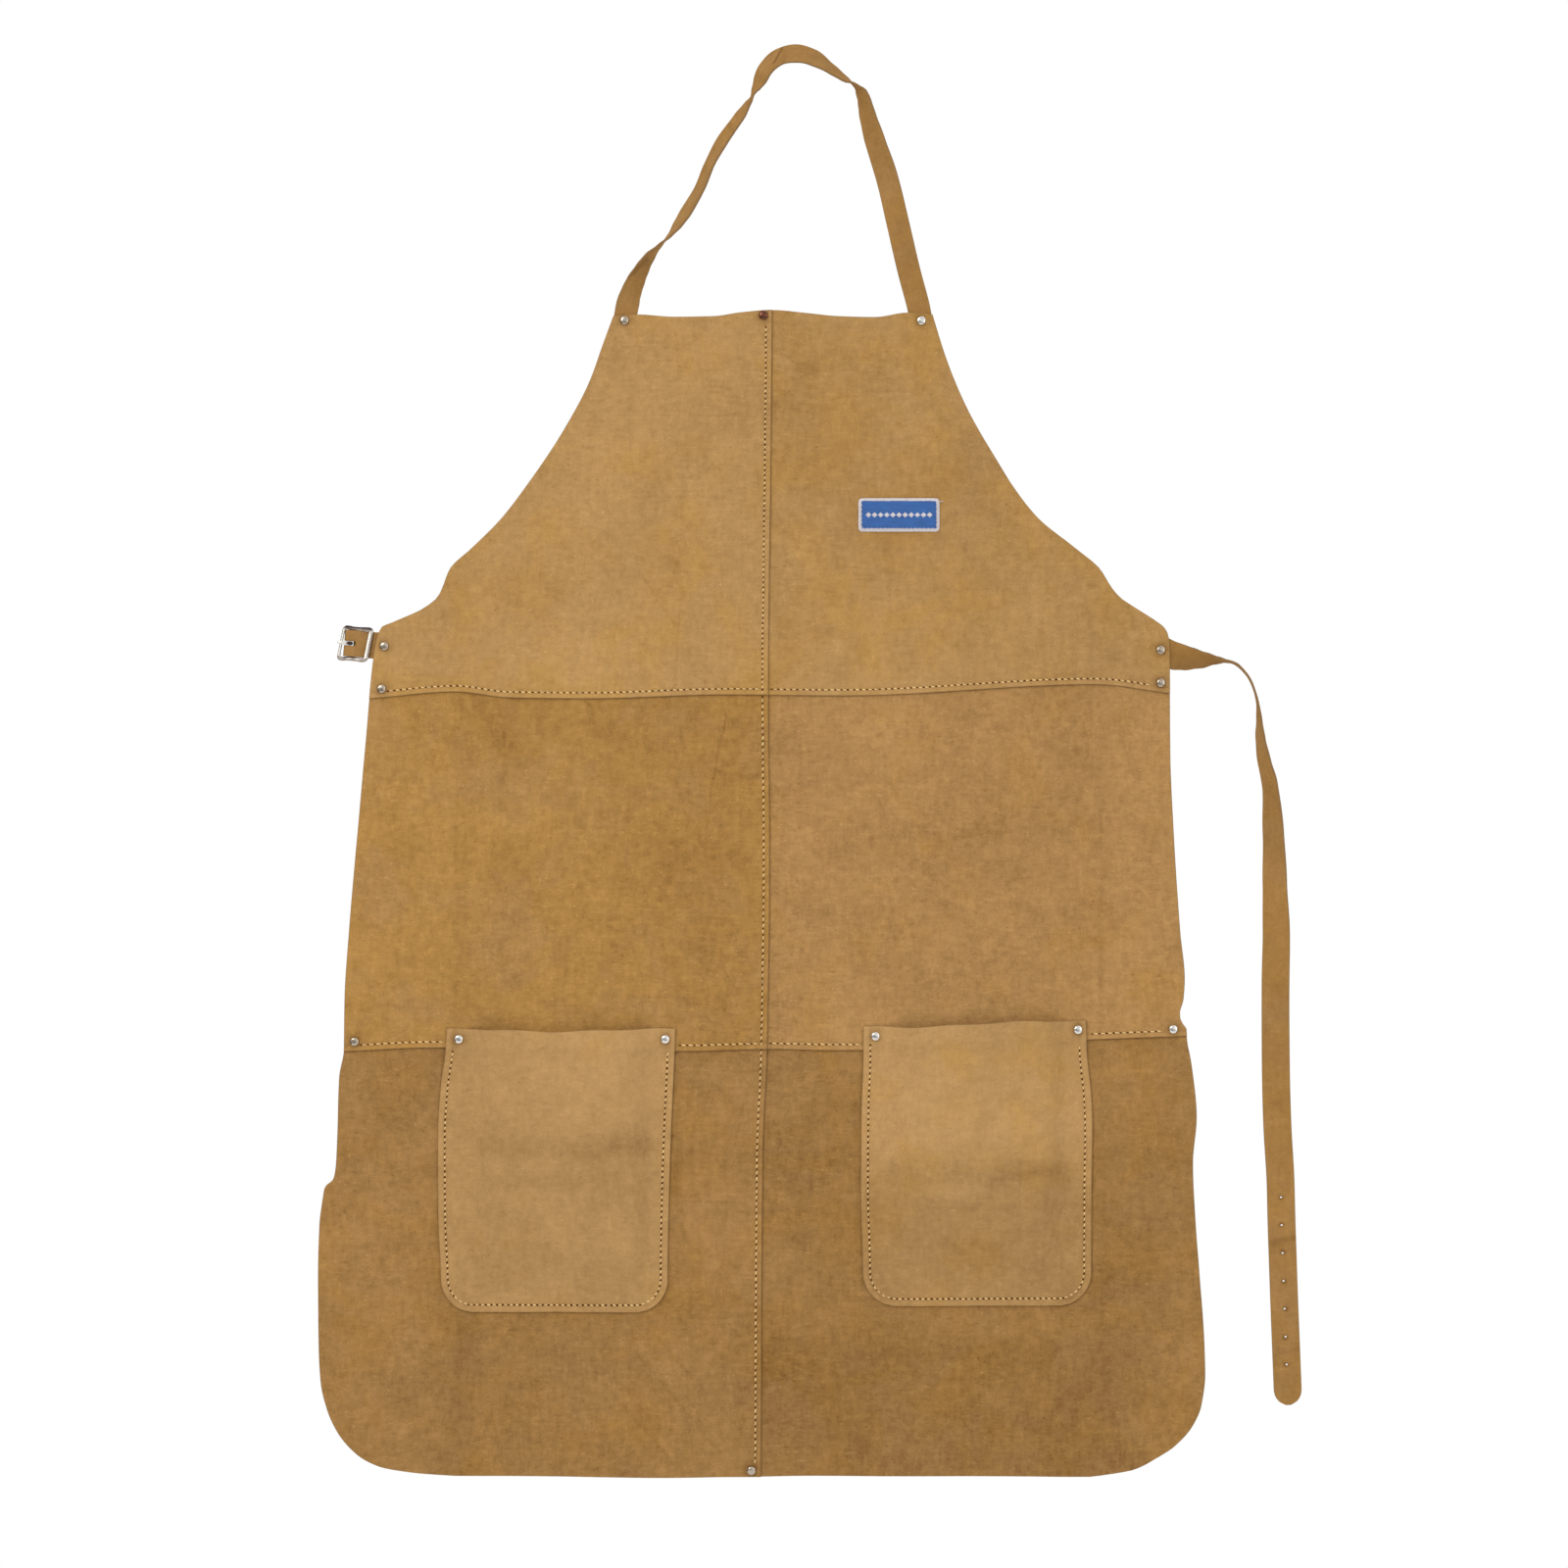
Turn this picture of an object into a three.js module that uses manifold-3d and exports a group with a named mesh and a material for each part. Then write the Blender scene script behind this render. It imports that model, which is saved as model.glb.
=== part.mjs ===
// Welding apron in split leather: six lap-sewn panels, two patch pockets, a neck strap, a waist strap with
// seven holes, a short tab with a centre-bar buckle, a woven label, fourteen capped rivets and sewing thread.
//
// Millimetres, +Z up. The apron hangs from its neck strap, and its front faces -Y. The origin is the point
// under the top of the neck strap where a hook or a neck carries it.

import * as THREE from 'three';
import { mergeVertices } from 'three/addons/utils/BufferGeometryUtils.js';
import Module from 'manifold-3d';

const wasm = await Module();
wasm.setup();

// ---------------------------------------------------------------- driving dimensions

const GAP = 0.3; // air left between pieces that touch

// body
const NECK_DROP = 197; // origin down to the bib's top edge
const ARMHOLE_DROP = 245; // bib's top edge down to the waist corners
const UPPER_ROW = 299; // bib's top edge down to the first cross seam, at the centre
const MIDDLE_ROW = 277; // first cross seam down to the second
const LOWER_ROW = 336; // second cross seam down to the hem
const BIB_LEFT = 136; // half widths, each measured from the origin
const BIB_RIGHT = 114;
const WAIST_LEFT = 320;
const WAIST_RIGHT = 299;
const SKIRT_LEFT = 348;
const SKIRT_RIGHT = 312;
const HEM_LEFT = 367;
const HEM_RIGHT = 329;
const HEM_CORNER = 72; // round corners of the hem
const CENTRE_SEAM_TOP = -12; // the centre seam's x at the top and at the hem
const CENTRE_SEAM_HEM = -20;
const SEAM_TILT = 5; // how much higher the cross seams run at the right edge
const BIB_PEAK = 4; // rise of the bib's top edge at the centre seam
const PANEL = 1.5; // leather thickness of panels and pockets
const LAP = 13; // how far a panel runs behind its neighbour
const STITCH_INSET = 4.6; // stitch line to leather edge

// straps
const STRAP = 1.8; // leather thickness of the straps and the tab
const NECK_STRAP_WIDTH = 18;
const WAIST_STRAP_WIDTH = 22;
const TAB_WIDTH = 20;
const STRAP_HOLES = 7;
const HOLE_PITCH = 22;
const HOLE_RADIUS = 1.6;
const FIRST_HOLE = 32; // strap tip to the centre of the first hole
const TIP_LENGTH = 13;

// pockets
const POCKET_LEFT_WIDTH = 181;
const POCKET_RIGHT_WIDTH = 178;
const POCKET_DEPTH = 222;
const POCKET_LEFT_X = -176.5; // middles
const POCKET_RIGHT_X = 149;
const POCKET_CORNER = 23;
const POCKET_RISE = 15; // pocket's mouth above the second cross seam's edge
const POCKET_BULGE = 8; // how far an empty pocket stands open
const POCKET_FLANGE = 15; // flat border that is sewn down
const POCKET_SLOPE = 20; // width of the slope between border and bulge
const LAP_STEP = 6; // height over which a pocket steps down off the lap behind its mouth

// rivets
const RIVET_HEAD_RADIUS = 3.7;
const RIVET_HEAD_HEIGHT = 1.7;
const RIVET_SHANK_RADIUS = 1.6;
const RIVET_CAP_RADIUS = 4.0;
const RIVET_CAP_HEIGHT = 2.0;
const RIVET_CAP_BORE = 1.3; // depth of the cap's blind hole

// buckle, in its own frame: x runs along the tab, measured from the tab's rivet
const BUCKLE_TILT = 5; // degrees that the tab points above the level
const BUCKLE_CENTRE_BAR = -27.6;
const BUCKLE_LEFT_BAR = -34.2;
const BUCKLE_RIGHT_BAR = -12.7;
const BUCKLE_RAIL = 3.0;
const BUCKLE_SIDE_CLEARANCE = 0.7; // tab edge to rail
const CENTRE_BAR_RADIUS = 1.0;
const LEFT_BAR_RADIUS = 1.1;
const RIGHT_BAR_WIDTH = 4.0;
const RIGHT_BAR_THICKNESS = 2.4;
const PRONG_WIDTH = 2.4;
const PRONG_THICKNESS = 1.5;
const PRONG_OVERHANG = 1.8; // prong tip past the left bar

// label
const LABEL_WIDTH = 64;
const LABEL_HEIGHT = 26.6;
const LABEL_X = 88;
const LABEL_DROP = 157; // bib's top edge down to the label's middle
const LABEL_BORDER = 2.8;
const LABEL_THICKNESS = 0.8;
const LABEL_BORDER_THICKNESS = 1.1;

const THREAD_RADIUS = 0.4;

// ---------------------------------------------------------------- derived places

const STEP = PANEL + GAP; // one leather layer
const TOP_Z = -NECK_DROP;
const WAIST_Z = TOP_Z - ARMHOLE_DROP;
const SEAM1_Z = TOP_Z - UPPER_ROW;
const SEAM2_Z = SEAM1_Z - MIDDLE_ROW;
const HEM_Z = SEAM2_Z - LOWER_ROW;

// layers counted from the front; left lies over right, and each upper row over the row below
const FRONT = {
    panel_upper_left: 0,
    panel_upper_right: STEP,
    panel_middle_left: STEP,
    panel_middle_right: 2 * STEP,
    panel_lower_left: 2 * STEP,
    panel_lower_right: 3 * STEP,
    pocket_left: 0,
    pocket_right: STEP,
    neck_strap_left: STEP,
    neck_strap_right: 2 * STEP,
    waist_strap: 2 * STEP,
    buckle_tab: STEP,
};

const lerp = (a, b, t) => a + (b - a) * t;
const smooth = (t) => THREE.MathUtils.smoothstep(t, 0, 1);
const centreX = (z) => lerp(CENTRE_SEAM_TOP, CENTRE_SEAM_HEM, (TOP_Z - z) / (TOP_Z - HEM_Z));
const tilt = (x) => Math.max(0, x / SKIRT_RIGHT) * SEAM_TILT;
const seam1 = (x) => SEAM1_Z + tilt(x);
const seam2 = (x) => SEAM2_Z + 2 * tilt(x);
const topEdge = (x) => {
    const fromSeam = (x - CENTRE_SEAM_TOP) / (BIB_LEFT + BIB_RIGHT);
    return TOP_Z + BIB_PEAK * Math.exp(-40 * fromSeam * fromSeam);
};
const waistX = (side) => (side < 0 ? -WAIST_LEFT : WAIST_RIGHT);

// x of the apron's side edge: from the waist corner to the second seam, and on to the hem
function sideX(side, z) {
    const skirt = side < 0 ? -SKIRT_LEFT : SKIRT_RIGHT;
    const hem = side < 0 ? -HEM_LEFT : HEM_RIGHT;
    if (z > SEAM2_Z) {
        return lerp(waistX(side), skirt, Math.pow((WAIST_Z - z) / (WAIST_Z - SEAM2_Z), 0.8));
    }
    return lerp(skirt, hem, Math.pow((SEAM2_Z - z) / LOWER_ROW, 0.5));
}

// ---------------------------------------------------------------- materials

const leather = (color) => new THREE.MeshStandardMaterial({ color, roughness: 0.92, metalness: 0 });
const SUEDE_LIGHT = leather('#b98f5c');
const SUEDE_MIDDLE = leather('#b0864c');
const SUEDE_DARK = leather('#a07642');
const SUEDE_STRAP = leather('#a27844');
const STEEL = new THREE.MeshStandardMaterial({ color: '#c9c6c0', roughness: 0.2, metalness: 1 });
const THREAD = new THREE.MeshStandardMaterial({ color: '#dcb887', roughness: 0.85, metalness: 0 });
const BLUE_WEAVE = new THREE.MeshStandardMaterial({ color: '#396eb4', roughness: 0.8, metalness: 0 });
const WHITE_THREAD = new THREE.MeshStandardMaterial({ color: '#e6ecf2', roughness: 0.8, metalness: 0 });

// ---------------------------------------------------------------- helpers

const apron = new THREE.Group();

function add(name, geometry, material, parent = apron) {
    const mesh = new THREE.Mesh(geometry, material);
    mesh.name = name;
    parent.add(mesh);
    return mesh;
}

function toSolid(geometry) {
    const bare = geometry.clone();
    for (const key of Object.keys(bare.attributes)) {
        if (key !== 'position') {
            bare.deleteAttribute(key);
        }
    }
    const merged = mergeVertices(bare, 1e-4);
    return new wasm.Manifold(new wasm.Mesh({
        numProp: 3,
        vertProperties: new Float32Array(merged.attributes.position.array),
        triVerts: new Uint32Array(merged.index.array),
    }));
}

function toGeometry(solid) {
    const mesh = solid.getMesh();
    const geometry = new THREE.BufferGeometry();
    geometry.setAttribute('position', new THREE.BufferAttribute(new Float32Array(mesh.vertProperties), 3));
    geometry.setIndex(new THREE.BufferAttribute(new Uint32Array(mesh.triVerts), 1));
    geometry.computeVertexNormals();
    return geometry;
}

function cut(geometry, cutters) {
    const uncut = toSolid(geometry);
    return toGeometry(cutters.reduce((solid, cutter) => solid.subtract(toSolid(cutter)), uncut));
}

function join(geometries) {
    return toGeometry(geometries.map(toSolid).reduce((all, next) => all.add(next)));
}

// an outline in x and z becomes a plate whose front face is at y = front
function plateGeometry(shape, front, thickness) {
    const settings = { depth: thickness, bevelEnabled: false, curveSegments: 10 };
    const geometry = new THREE.ExtrudeGeometry(shape, settings);
    geometry.rotateX(Math.PI / 2);
    geometry.translate(0, front + thickness, 0);
    return geometry;
}

function pin(radius, from, to, sides = 12) {
    const along = to.clone().sub(from);
    const geometry = new THREE.CylinderGeometry(radius, radius, along.length(), sides);
    geometry.applyQuaternion(new THREE.Quaternion().setFromUnitVectors(
        new THREE.Vector3(0, 1, 0),
        along.clone().normalize(),
    ));
    const middle = from.clone().add(to).multiplyScalar(0.5);
    geometry.translate(middle.x, middle.y, middle.z);
    return geometry;
}

const REACH = 60; // longer than any stack of layers
const holeThrough = (x, z, radius) => pin(
    radius,
    new THREE.Vector3(x, -REACH, z),
    new THREE.Vector3(x, REACH, z),
);

// ---------------------------------------------------------------- rivets: where they are

const pocketTop = (x) => seam2(x) + POCKET_RISE;
const EDGE_INSET = 8.5; // rivet centre to the leather's side edge
const TOP_INSET = 4.4; // rivet centre to the bib's top edge
const POCKET_RIVET_INSET = 9.5;

function pocketRivetX(middle, width, side) {
    return middle + side * (width / 2 - POCKET_RIVET_INSET);
}

const NECK_LEFT_X = -BIB_LEFT + EDGE_INSET;
const NECK_RIGHT_X = BIB_RIGHT - EDGE_INSET;
const TAB_RIVET = { x: -WAIST_LEFT + 4, z: WAIST_Z - 15 };
const WAIST_RIVET = { x: WAIST_RIGHT - 5.5, z: WAIST_Z - 18 };

const RIVETS = [];

function rivet(place, x, z, front, back, pieces) {
    RIVETS.push({ place, x, z, front, back, pieces });
}

const backOf = (node, thickness = PANEL) => FRONT[node] + thickness;

rivet('neck_left', NECK_LEFT_X, topEdge(NECK_LEFT_X) - TOP_INSET, FRONT.panel_upper_left,
    backOf('neck_strap_left', STRAP), ['panel_upper_left', 'neck_strap']);
rivet('bib_centre', CENTRE_SEAM_TOP - LAP / 2, topEdge(CENTRE_SEAM_TOP) - TOP_INSET, FRONT.panel_upper_left,
    backOf('panel_upper_right'), ['panel_upper_left', 'panel_upper_right']);
rivet('neck_right', NECK_RIGHT_X, topEdge(NECK_RIGHT_X) - TOP_INSET, FRONT.panel_upper_right,
    backOf('neck_strap_right', STRAP), ['panel_upper_right', 'neck_strap']);

const TAB_LAYER_SHIFT = STRAP + 0.8; // the tab's back layer lies this far behind its front layer
rivet('tab', TAB_RIVET.x, TAB_RIVET.z, FRONT.panel_upper_left,
    backOf('buckle_tab', STRAP) + TAB_LAYER_SHIFT, ['panel_upper_left', 'buckle_tab']);
rivet('waist_strap', WAIST_RIVET.x, WAIST_RIVET.z, FRONT.panel_upper_right,
    backOf('waist_strap', STRAP), ['panel_upper_right', 'waist_strap']);

const SEAM_RIVET_RISE = 5.5; // rivet centre above the upper panel's lower edge

function seamRivet(place, side, seam, seamZ, over, under) {
    const z = seam(side * WAIST_RIGHT) + SEAM_RIVET_RISE;
    const x = sideX(side, seamZ) - side * EDGE_INSET;
    rivet(place, x, z, FRONT[over], backOf(under), [over, under]);
}

seamRivet('seam_upper_left', -1, seam1, SEAM1_Z, 'panel_upper_left', 'panel_middle_left');
seamRivet('seam_upper_right', 1, seam1, SEAM1_Z, 'panel_upper_right', 'panel_middle_right');
seamRivet('seam_lower_left', -1, seam2, SEAM2_Z, 'panel_middle_left', 'panel_lower_left');
seamRivet('seam_lower_right', 1, seam2, SEAM2_Z, 'panel_middle_right', 'panel_lower_right');

function pocketRivets(side, middle, width) {
    const stack = [`pocket_${side}`, `panel_middle_${side}`, `panel_lower_${side}`];
    for (const [corner, sign] of [['left', -1], ['right', 1]]) {
        const x = pocketRivetX(middle, width, sign);
        const z = seam2(x) + POCKET_RISE / 2;
        rivet(`pocket_${side}_${corner}`, x, z, FRONT[stack[0]], backOf(stack[2]), stack);
    }
}

pocketRivets('left', POCKET_LEFT_X, POCKET_LEFT_WIDTH);
pocketRivets('right', POCKET_RIGHT_X, POCKET_RIGHT_WIDTH);
rivet('hem_centre', CENTRE_SEAM_HEM - LAP / 2 - 1.5, HEM_Z + TOP_INSET, FRONT.panel_lower_left,
    backOf('panel_lower_right'), ['panel_lower_left', 'panel_lower_right']);

const RIVET_HOLE = RIVET_SHANK_RADIUS + GAP;
const rivetHoles = (node) => RIVETS.filter((one) => one.pieces.includes(node))
    .map((one) => holeThrough(one.x, one.z, RIVET_HOLE));

// the head and shank are one turned piece; the cap behind has a blind hole that takes the shank
function addRivet({ place, x, z, front, back }) {
    const shankEnd = back + GAP + RIVET_CAP_BORE - GAP;
    const headBack = front - GAP;
    const head = [];
    const domeSteps = 4;
    for (let i = 0; i <= domeSteps; i += 1) {
        const angle = (i / domeSteps) * (Math.PI / 2);
        head.push(new THREE.Vector2(
            RIVET_HEAD_RADIUS * Math.sin(angle),
            headBack - 0.4 - (RIVET_HEAD_HEIGHT - 0.4) * Math.cos(angle),
        ));
    }
    head.push(new THREE.Vector2(RIVET_HEAD_RADIUS, headBack));
    head.push(new THREE.Vector2(RIVET_SHANK_RADIUS, headBack));
    head.push(new THREE.Vector2(RIVET_SHANK_RADIUS, shankEnd));
    head.push(new THREE.Vector2(0, shankEnd));
    add(`rivet_${place}`, new THREE.LatheGeometry(head, 10), STEEL).position.set(x, 0, z);

    const capFront = back + GAP;
    const bore = RIVET_SHANK_RADIUS + GAP;
    const cap = [
        new THREE.Vector2(0, capFront + RIVET_CAP_BORE),
        new THREE.Vector2(bore, capFront + RIVET_CAP_BORE),
        new THREE.Vector2(bore, capFront),
        new THREE.Vector2(RIVET_CAP_RADIUS, capFront),
        new THREE.Vector2(RIVET_CAP_RADIUS, capFront + RIVET_CAP_HEIGHT * 0.5),
        new THREE.Vector2(RIVET_CAP_RADIUS * 0.7, capFront + RIVET_CAP_HEIGHT * 0.9),
        new THREE.Vector2(0, capFront + RIVET_CAP_HEIGHT),
    ];
    add(`cap_${place}`, new THREE.LatheGeometry(cap, 10), STEEL).position.set(x, 0, z);
}

RIVETS.forEach(addRivet);

// ---------------------------------------------------------------- panels

// the armhole's run as shares of its width and height: steep down the bib, a small step,
// then out to the corner
const ARMHOLE = [[0.05, 0.12], [0.15, 0.28], [0.28, 0.46], [0.45, 0.63], [0.62, 0.76], [0.71, 0.815],
    [0.75, 0.88], [0.84, 0.94], [0.95, 0.98], [1, 1]];

function armhole(side) {
    const bib = side < 0 ? -BIB_LEFT : BIB_RIGHT;
    return ARMHOLE.map(([across, down]) => [lerp(bib, waistX(side), across), TOP_Z - ARMHOLE_DROP * down]);
}

function outline(points) {
    return new THREE.Shape(points.map(([x, z]) => new THREE.Vector2(x, z)));
}

function line(from, to, count, point) {
    return Array.from({ length: count + 1 }, (_, i) => point(lerp(from, to, i / count)));
}

const bibEdge = (from, to) => line(from, to, 6, (x) => [x, topEdge(x)]);
const sideEdge = (side, from, to) => line(from, to, 4, (z) => [sideX(side, z), z]);
const RELIEF = 1.2; // hidden corners stop this far short of the centre seam so that four layers never meet

function addPanel(name, points, material) {
    const plate = plateGeometry(outline(points), FRONT[name], PANEL);
    add(name, cut(plate, rivetHoles(name)), material);
}

addPanel('panel_upper_left', [
    ...bibEdge(-BIB_LEFT, CENTRE_SEAM_TOP),
    [centreX(SEAM1_Z), SEAM1_Z],
    ...sideEdge(-1, SEAM1_Z, WAIST_Z),
    ...armhole(-1).reverse().slice(1),
], SUEDE_LIGHT);

addPanel('panel_upper_right', [
    ...bibEdge(CENTRE_SEAM_TOP - LAP, BIB_RIGHT),
    ...armhole(1).slice(0, -1),
    ...sideEdge(1, WAIST_Z, seam1(WAIST_RIGHT)),
    [0, SEAM1_Z],
    [centreX(SEAM1_Z) - RELIEF, SEAM1_Z],
    [centreX(SEAM1_Z) - RELIEF, SEAM1_Z + LAP + GAP],
    [centreX(SEAM1_Z) - LAP, SEAM1_Z + LAP + GAP],
], SUEDE_LIGHT);

// a middle or lower panel on the left: its top runs behind the row above
addPanel('panel_middle_left', [
    [centreX(SEAM1_Z) - 2 * RELIEF, SEAM1_Z + LAP],
    [centreX(SEAM1_Z) - 2 * RELIEF, SEAM1_Z],
    [centreX(SEAM1_Z), SEAM1_Z - GAP],
    [centreX(SEAM2_Z), SEAM2_Z],
    ...sideEdge(-1, SEAM2_Z, SEAM1_Z + LAP),
], SUEDE_MIDDLE);

addPanel('panel_middle_right', [
    [centreX(SEAM1_Z) - LAP, SEAM1_Z + LAP],
    [0, SEAM1_Z + LAP],
    ...sideEdge(1, seam1(WAIST_RIGHT) + LAP, seam2(SKIRT_RIGHT)),
    [0, SEAM2_Z],
    [centreX(SEAM2_Z) - RELIEF, SEAM2_Z],
    [centreX(SEAM2_Z) - RELIEF, SEAM2_Z + LAP + GAP],
    [centreX(SEAM2_Z) - LAP, SEAM2_Z + LAP + GAP],
], SUEDE_MIDDLE);

function hemCorner(side) {
    const x = sideX(side, HEM_Z + HEM_CORNER);
    return line(0, Math.PI / 2, 8, (angle) => [
        x - side * HEM_CORNER * (1 - Math.cos(angle)),
        HEM_Z + HEM_CORNER * (1 - Math.sin(angle)),
    ]);
}

addPanel('panel_lower_left', [
    [centreX(SEAM2_Z) - 2 * RELIEF, SEAM2_Z + LAP],
    [centreX(SEAM2_Z) - 2 * RELIEF, SEAM2_Z],
    [centreX(SEAM2_Z), SEAM2_Z - GAP],
    [CENTRE_SEAM_HEM, HEM_Z],
    ...hemCorner(-1).reverse(),
    ...sideEdge(-1, HEM_Z + HEM_CORNER, SEAM2_Z + LAP).slice(1),
], SUEDE_DARK);

addPanel('panel_lower_right', [
    [centreX(SEAM2_Z) - LAP, SEAM2_Z + LAP],
    [0, SEAM2_Z + LAP],
    ...sideEdge(1, seam2(SKIRT_RIGHT) + LAP, HEM_Z + HEM_CORNER),
    ...hemCorner(1).slice(1),
    [CENTRE_SEAM_HEM - LAP, HEM_Z],
], SUEDE_DARK);

// ---------------------------------------------------------------- pockets

// y of a pocket's front face: over the lap at the top, down onto the lower panel,
// and bulged inside its border
function pocketFront(node, middle, width, x, z) {
    const overLap = smooth((seam2(x) - z) / LAP_STEP);
    const fromSide = width / 2 - Math.abs(x - middle);
    const fromBottom = z - (pocketTop(middle) - POCKET_DEPTH);
    const bulge = smooth((fromSide - POCKET_FLANGE) / POCKET_SLOPE)
        * smooth((fromBottom - POCKET_FLANGE) / (2 * POCKET_SLOPE));
    return FRONT[node] + STEP * overLap - POCKET_BULGE * bulge;
}

function pocketOutline(middle, width, inset) {
    const left = middle - width / 2 + inset;
    const right = middle + width / 2 - inset;
    const bottom = pocketTop(middle) - POCKET_DEPTH + inset;
    const radius = POCKET_CORNER - inset;
    const shape = new THREE.Path();
    shape.moveTo(left, pocketTop(left));
    shape.lineTo(left, bottom + radius);
    shape.absarc(left + radius, bottom + radius, radius, Math.PI, 1.5 * Math.PI, false);
    shape.lineTo(right - radius, bottom);
    shape.absarc(right - radius, bottom + radius, radius, 1.5 * Math.PI, 2 * Math.PI, false);
    shape.lineTo(right, pocketTop(right));
    return shape.getPoints(6);
}

// The sheet's columns and rows lie closest together where the pocket slopes.
function addPocket(node, middle, width) {
    const margin = 2;
    const halfColumns = [
        ...line(0, width / 2 - POCKET_FLANGE - POCKET_SLOPE, 3, (x) => x),
        ...line(width / 2 - POCKET_FLANGE - POCKET_SLOPE, width / 2 - POCKET_FLANGE, 5, (x) => x).slice(1),
        width / 2 + margin,
    ];
    const across = [...halfColumns.slice(1).map((x) => -x).reverse(), ...halfColumns];
    const bottom = POCKET_RISE - POCKET_DEPTH;
    const levels = [
        bottom - margin,
        ...line(bottom + POCKET_FLANGE, bottom + POCKET_FLANGE + 2 * POCKET_SLOPE, 6, (z) => z),
        ...line(bottom + POCKET_FLANGE + 2 * POCKET_SLOPE, -LAP_STEP, 4, (z) => z).slice(1),
        -LAP_STEP / 2,
        0,
        POCKET_RISE + margin,
    ];
    const columns = across.length - 1;
    const rows = levels.length - 1;
    const sheet = new THREE.BoxGeometry(columns, PANEL, rows, columns, 1, rows);
    sheet.translate(columns / 2, 0, rows / 2);
    const place = sheet.attributes.position;
    for (let i = 0; i < place.count; i += 1) {
        const x = middle + across[Math.round(place.getX(i))];
        const z = seam2(x) + levels[Math.round(place.getZ(i))];
        const face = place.getY(i) + PANEL / 2;
        place.setXYZ(i, x, pocketFront(node, middle, width, x, z) + face, z);
    }
    const prism = plateGeometry(new THREE.Shape(pocketOutline(middle, width, 0)), -REACH, 2 * REACH);
    const trimmed = toGeometry(toSolid(sheet).intersect(toSolid(prism)));
    add(node, cut(trimmed, rivetHoles(node)), SUEDE_LIGHT);
}

addPocket('pocket_left', POCKET_LEFT_X, POCKET_LEFT_WIDTH);
addPocket('pocket_right', POCKET_RIGHT_X, POCKET_RIGHT_WIDTH);

// ---------------------------------------------------------------- straps

// A flat strap along a smooth path. Each stop is [x, y, z, turn]: turn is the angle in degrees between the
// strap's width and the plane of the apron, 0 where its face looks to the front and 90 where it is edge-on.
function strapFrames(stops, count) {
    const places = stops.map(([x, y, z]) => new THREE.Vector3(x, y, z));
    const path = new THREE.CatmullRomCurve3(places, false, 'centripetal');
    const depth = new THREE.Vector3(0, 1, 0);
    const frames = [];
    for (let i = 0; i <= count; i += 1) {
        const u = path.getUtoTmapping(i / count);
        const at = path.getPoint(u);
        const along = path.getTangent(u);
        const stop = Math.min(Math.floor(u * (stops.length - 1)), stops.length - 2);
        const share = u * (stops.length - 1) - stop;
        const turn = THREE.MathUtils.degToRad(lerp(stops[stop][3], stops[stop + 1][3], smooth(share)));
        const flat = new THREE.Vector3().crossVectors(depth, along).normalize();
        const wide = flat.multiplyScalar(Math.cos(turn)).addScaledVector(depth, Math.sin(turn));
        wide.addScaledVector(along, -wide.dot(along)).normalize();
        frames.push({ at, along, wide, normal: new THREE.Vector3().crossVectors(along, wide) });
    }
    return { frames, length: path.getLength() };
}

function strapGeometry(frames, width, halfWidthAt) {
    const count = frames.length - 1;
    const strip = new THREE.BoxGeometry(count, STRAP, width, count, 1, 1);
    const place = strip.attributes.position;
    for (let i = 0; i < place.count; i += 1) {
        const index = Math.round(place.getX(i) + count / 2);
        const { at, wide, normal } = frames[index];
        const across = Math.sign(place.getZ(i)) * halfWidthAt(index / count);
        const point = at.clone().addScaledVector(wide, across).addScaledVector(normal, -place.getY(i));
        place.setXYZ(i, point.x, point.y, point.z);
    }
    return strip;
}

const NECK_LEFT_Y = FRONT.neck_strap_left + STRAP / 2;
const NECK_RIGHT_Y = FRONT.neck_strap_right + STRAP / 2;
const NECK_APEX = NECK_STRAP_WIDTH / 2; // the strap's lower edge is at the origin
const NECK_END = 14; // strap below the rivets

const neckStops = [
    [NECK_LEFT_X - 4, NECK_LEFT_Y, TOP_Z - TOP_INSET - NECK_END, 0],
    [NECK_LEFT_X, NECK_LEFT_Y, TOP_Z - TOP_INSET, 0],
    [NECK_LEFT_X + 2.2, NECK_LEFT_Y, TOP_Z + 7.6, 0],
    [-122.6, 3.5, -180, 22],
    [-119, 4, -171, 34],
    [-114.3, 4.5, -161.7, 52],
    [-109, 5, -152.5, 72],
    [-101, 5, -143, 90],
    [-92, 5, -134, 103],
    [-85, 5, -124.7, 116],
    [-79, 5, -115.5, 122],
    [-68.5, 4, -97, 118],
    [-61.2, 4, -78.5, 118],
    [-50.8, 3, -60, 124],
    [-37.3, 2, -41.6, 120],
    [-30.5, 2, -31, 108],
    [-26.8, 2, -25, 97],
    [-23.5, 2, -18, 114],
    [-20.5, 1, -11.5, 128],
    [-16.5, 1, -3.5, 134],
    [-7, 0, 5, 142],
    [7, 0, NECK_APEX - 1, 150],
    [20, 0, 5.4, 140],
    [34, 1, -3, 116],
    [45, 1.5, -10.5, 106],
    [54, 2, -16, 90],
    [59, 3, -23, 62],
    [61, 3, -31, 50],
    [63.1, 4, -41.6, 38],
    [68.5, 4.5, -60, 18],
    [77.8, 5, -87.8, 8],
    [87, 5.3, -124.7, 0],
    [95.9, 5.5, -161.7, 0],
    [NECK_RIGHT_X - 2.3, NECK_RIGHT_Y, TOP_Z + 7.6, 0],
    [NECK_RIGHT_X, NECK_RIGHT_Y, TOP_Z - TOP_INSET, 0],
    [NECK_RIGHT_X + 3, NECK_RIGHT_Y, TOP_Z - TOP_INSET - NECK_END, 0],
];
const neck = strapFrames(neckStops, 84);
const neckStrap = strapGeometry(neck.frames, NECK_STRAP_WIDTH, () => NECK_STRAP_WIDTH / 2);
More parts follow.
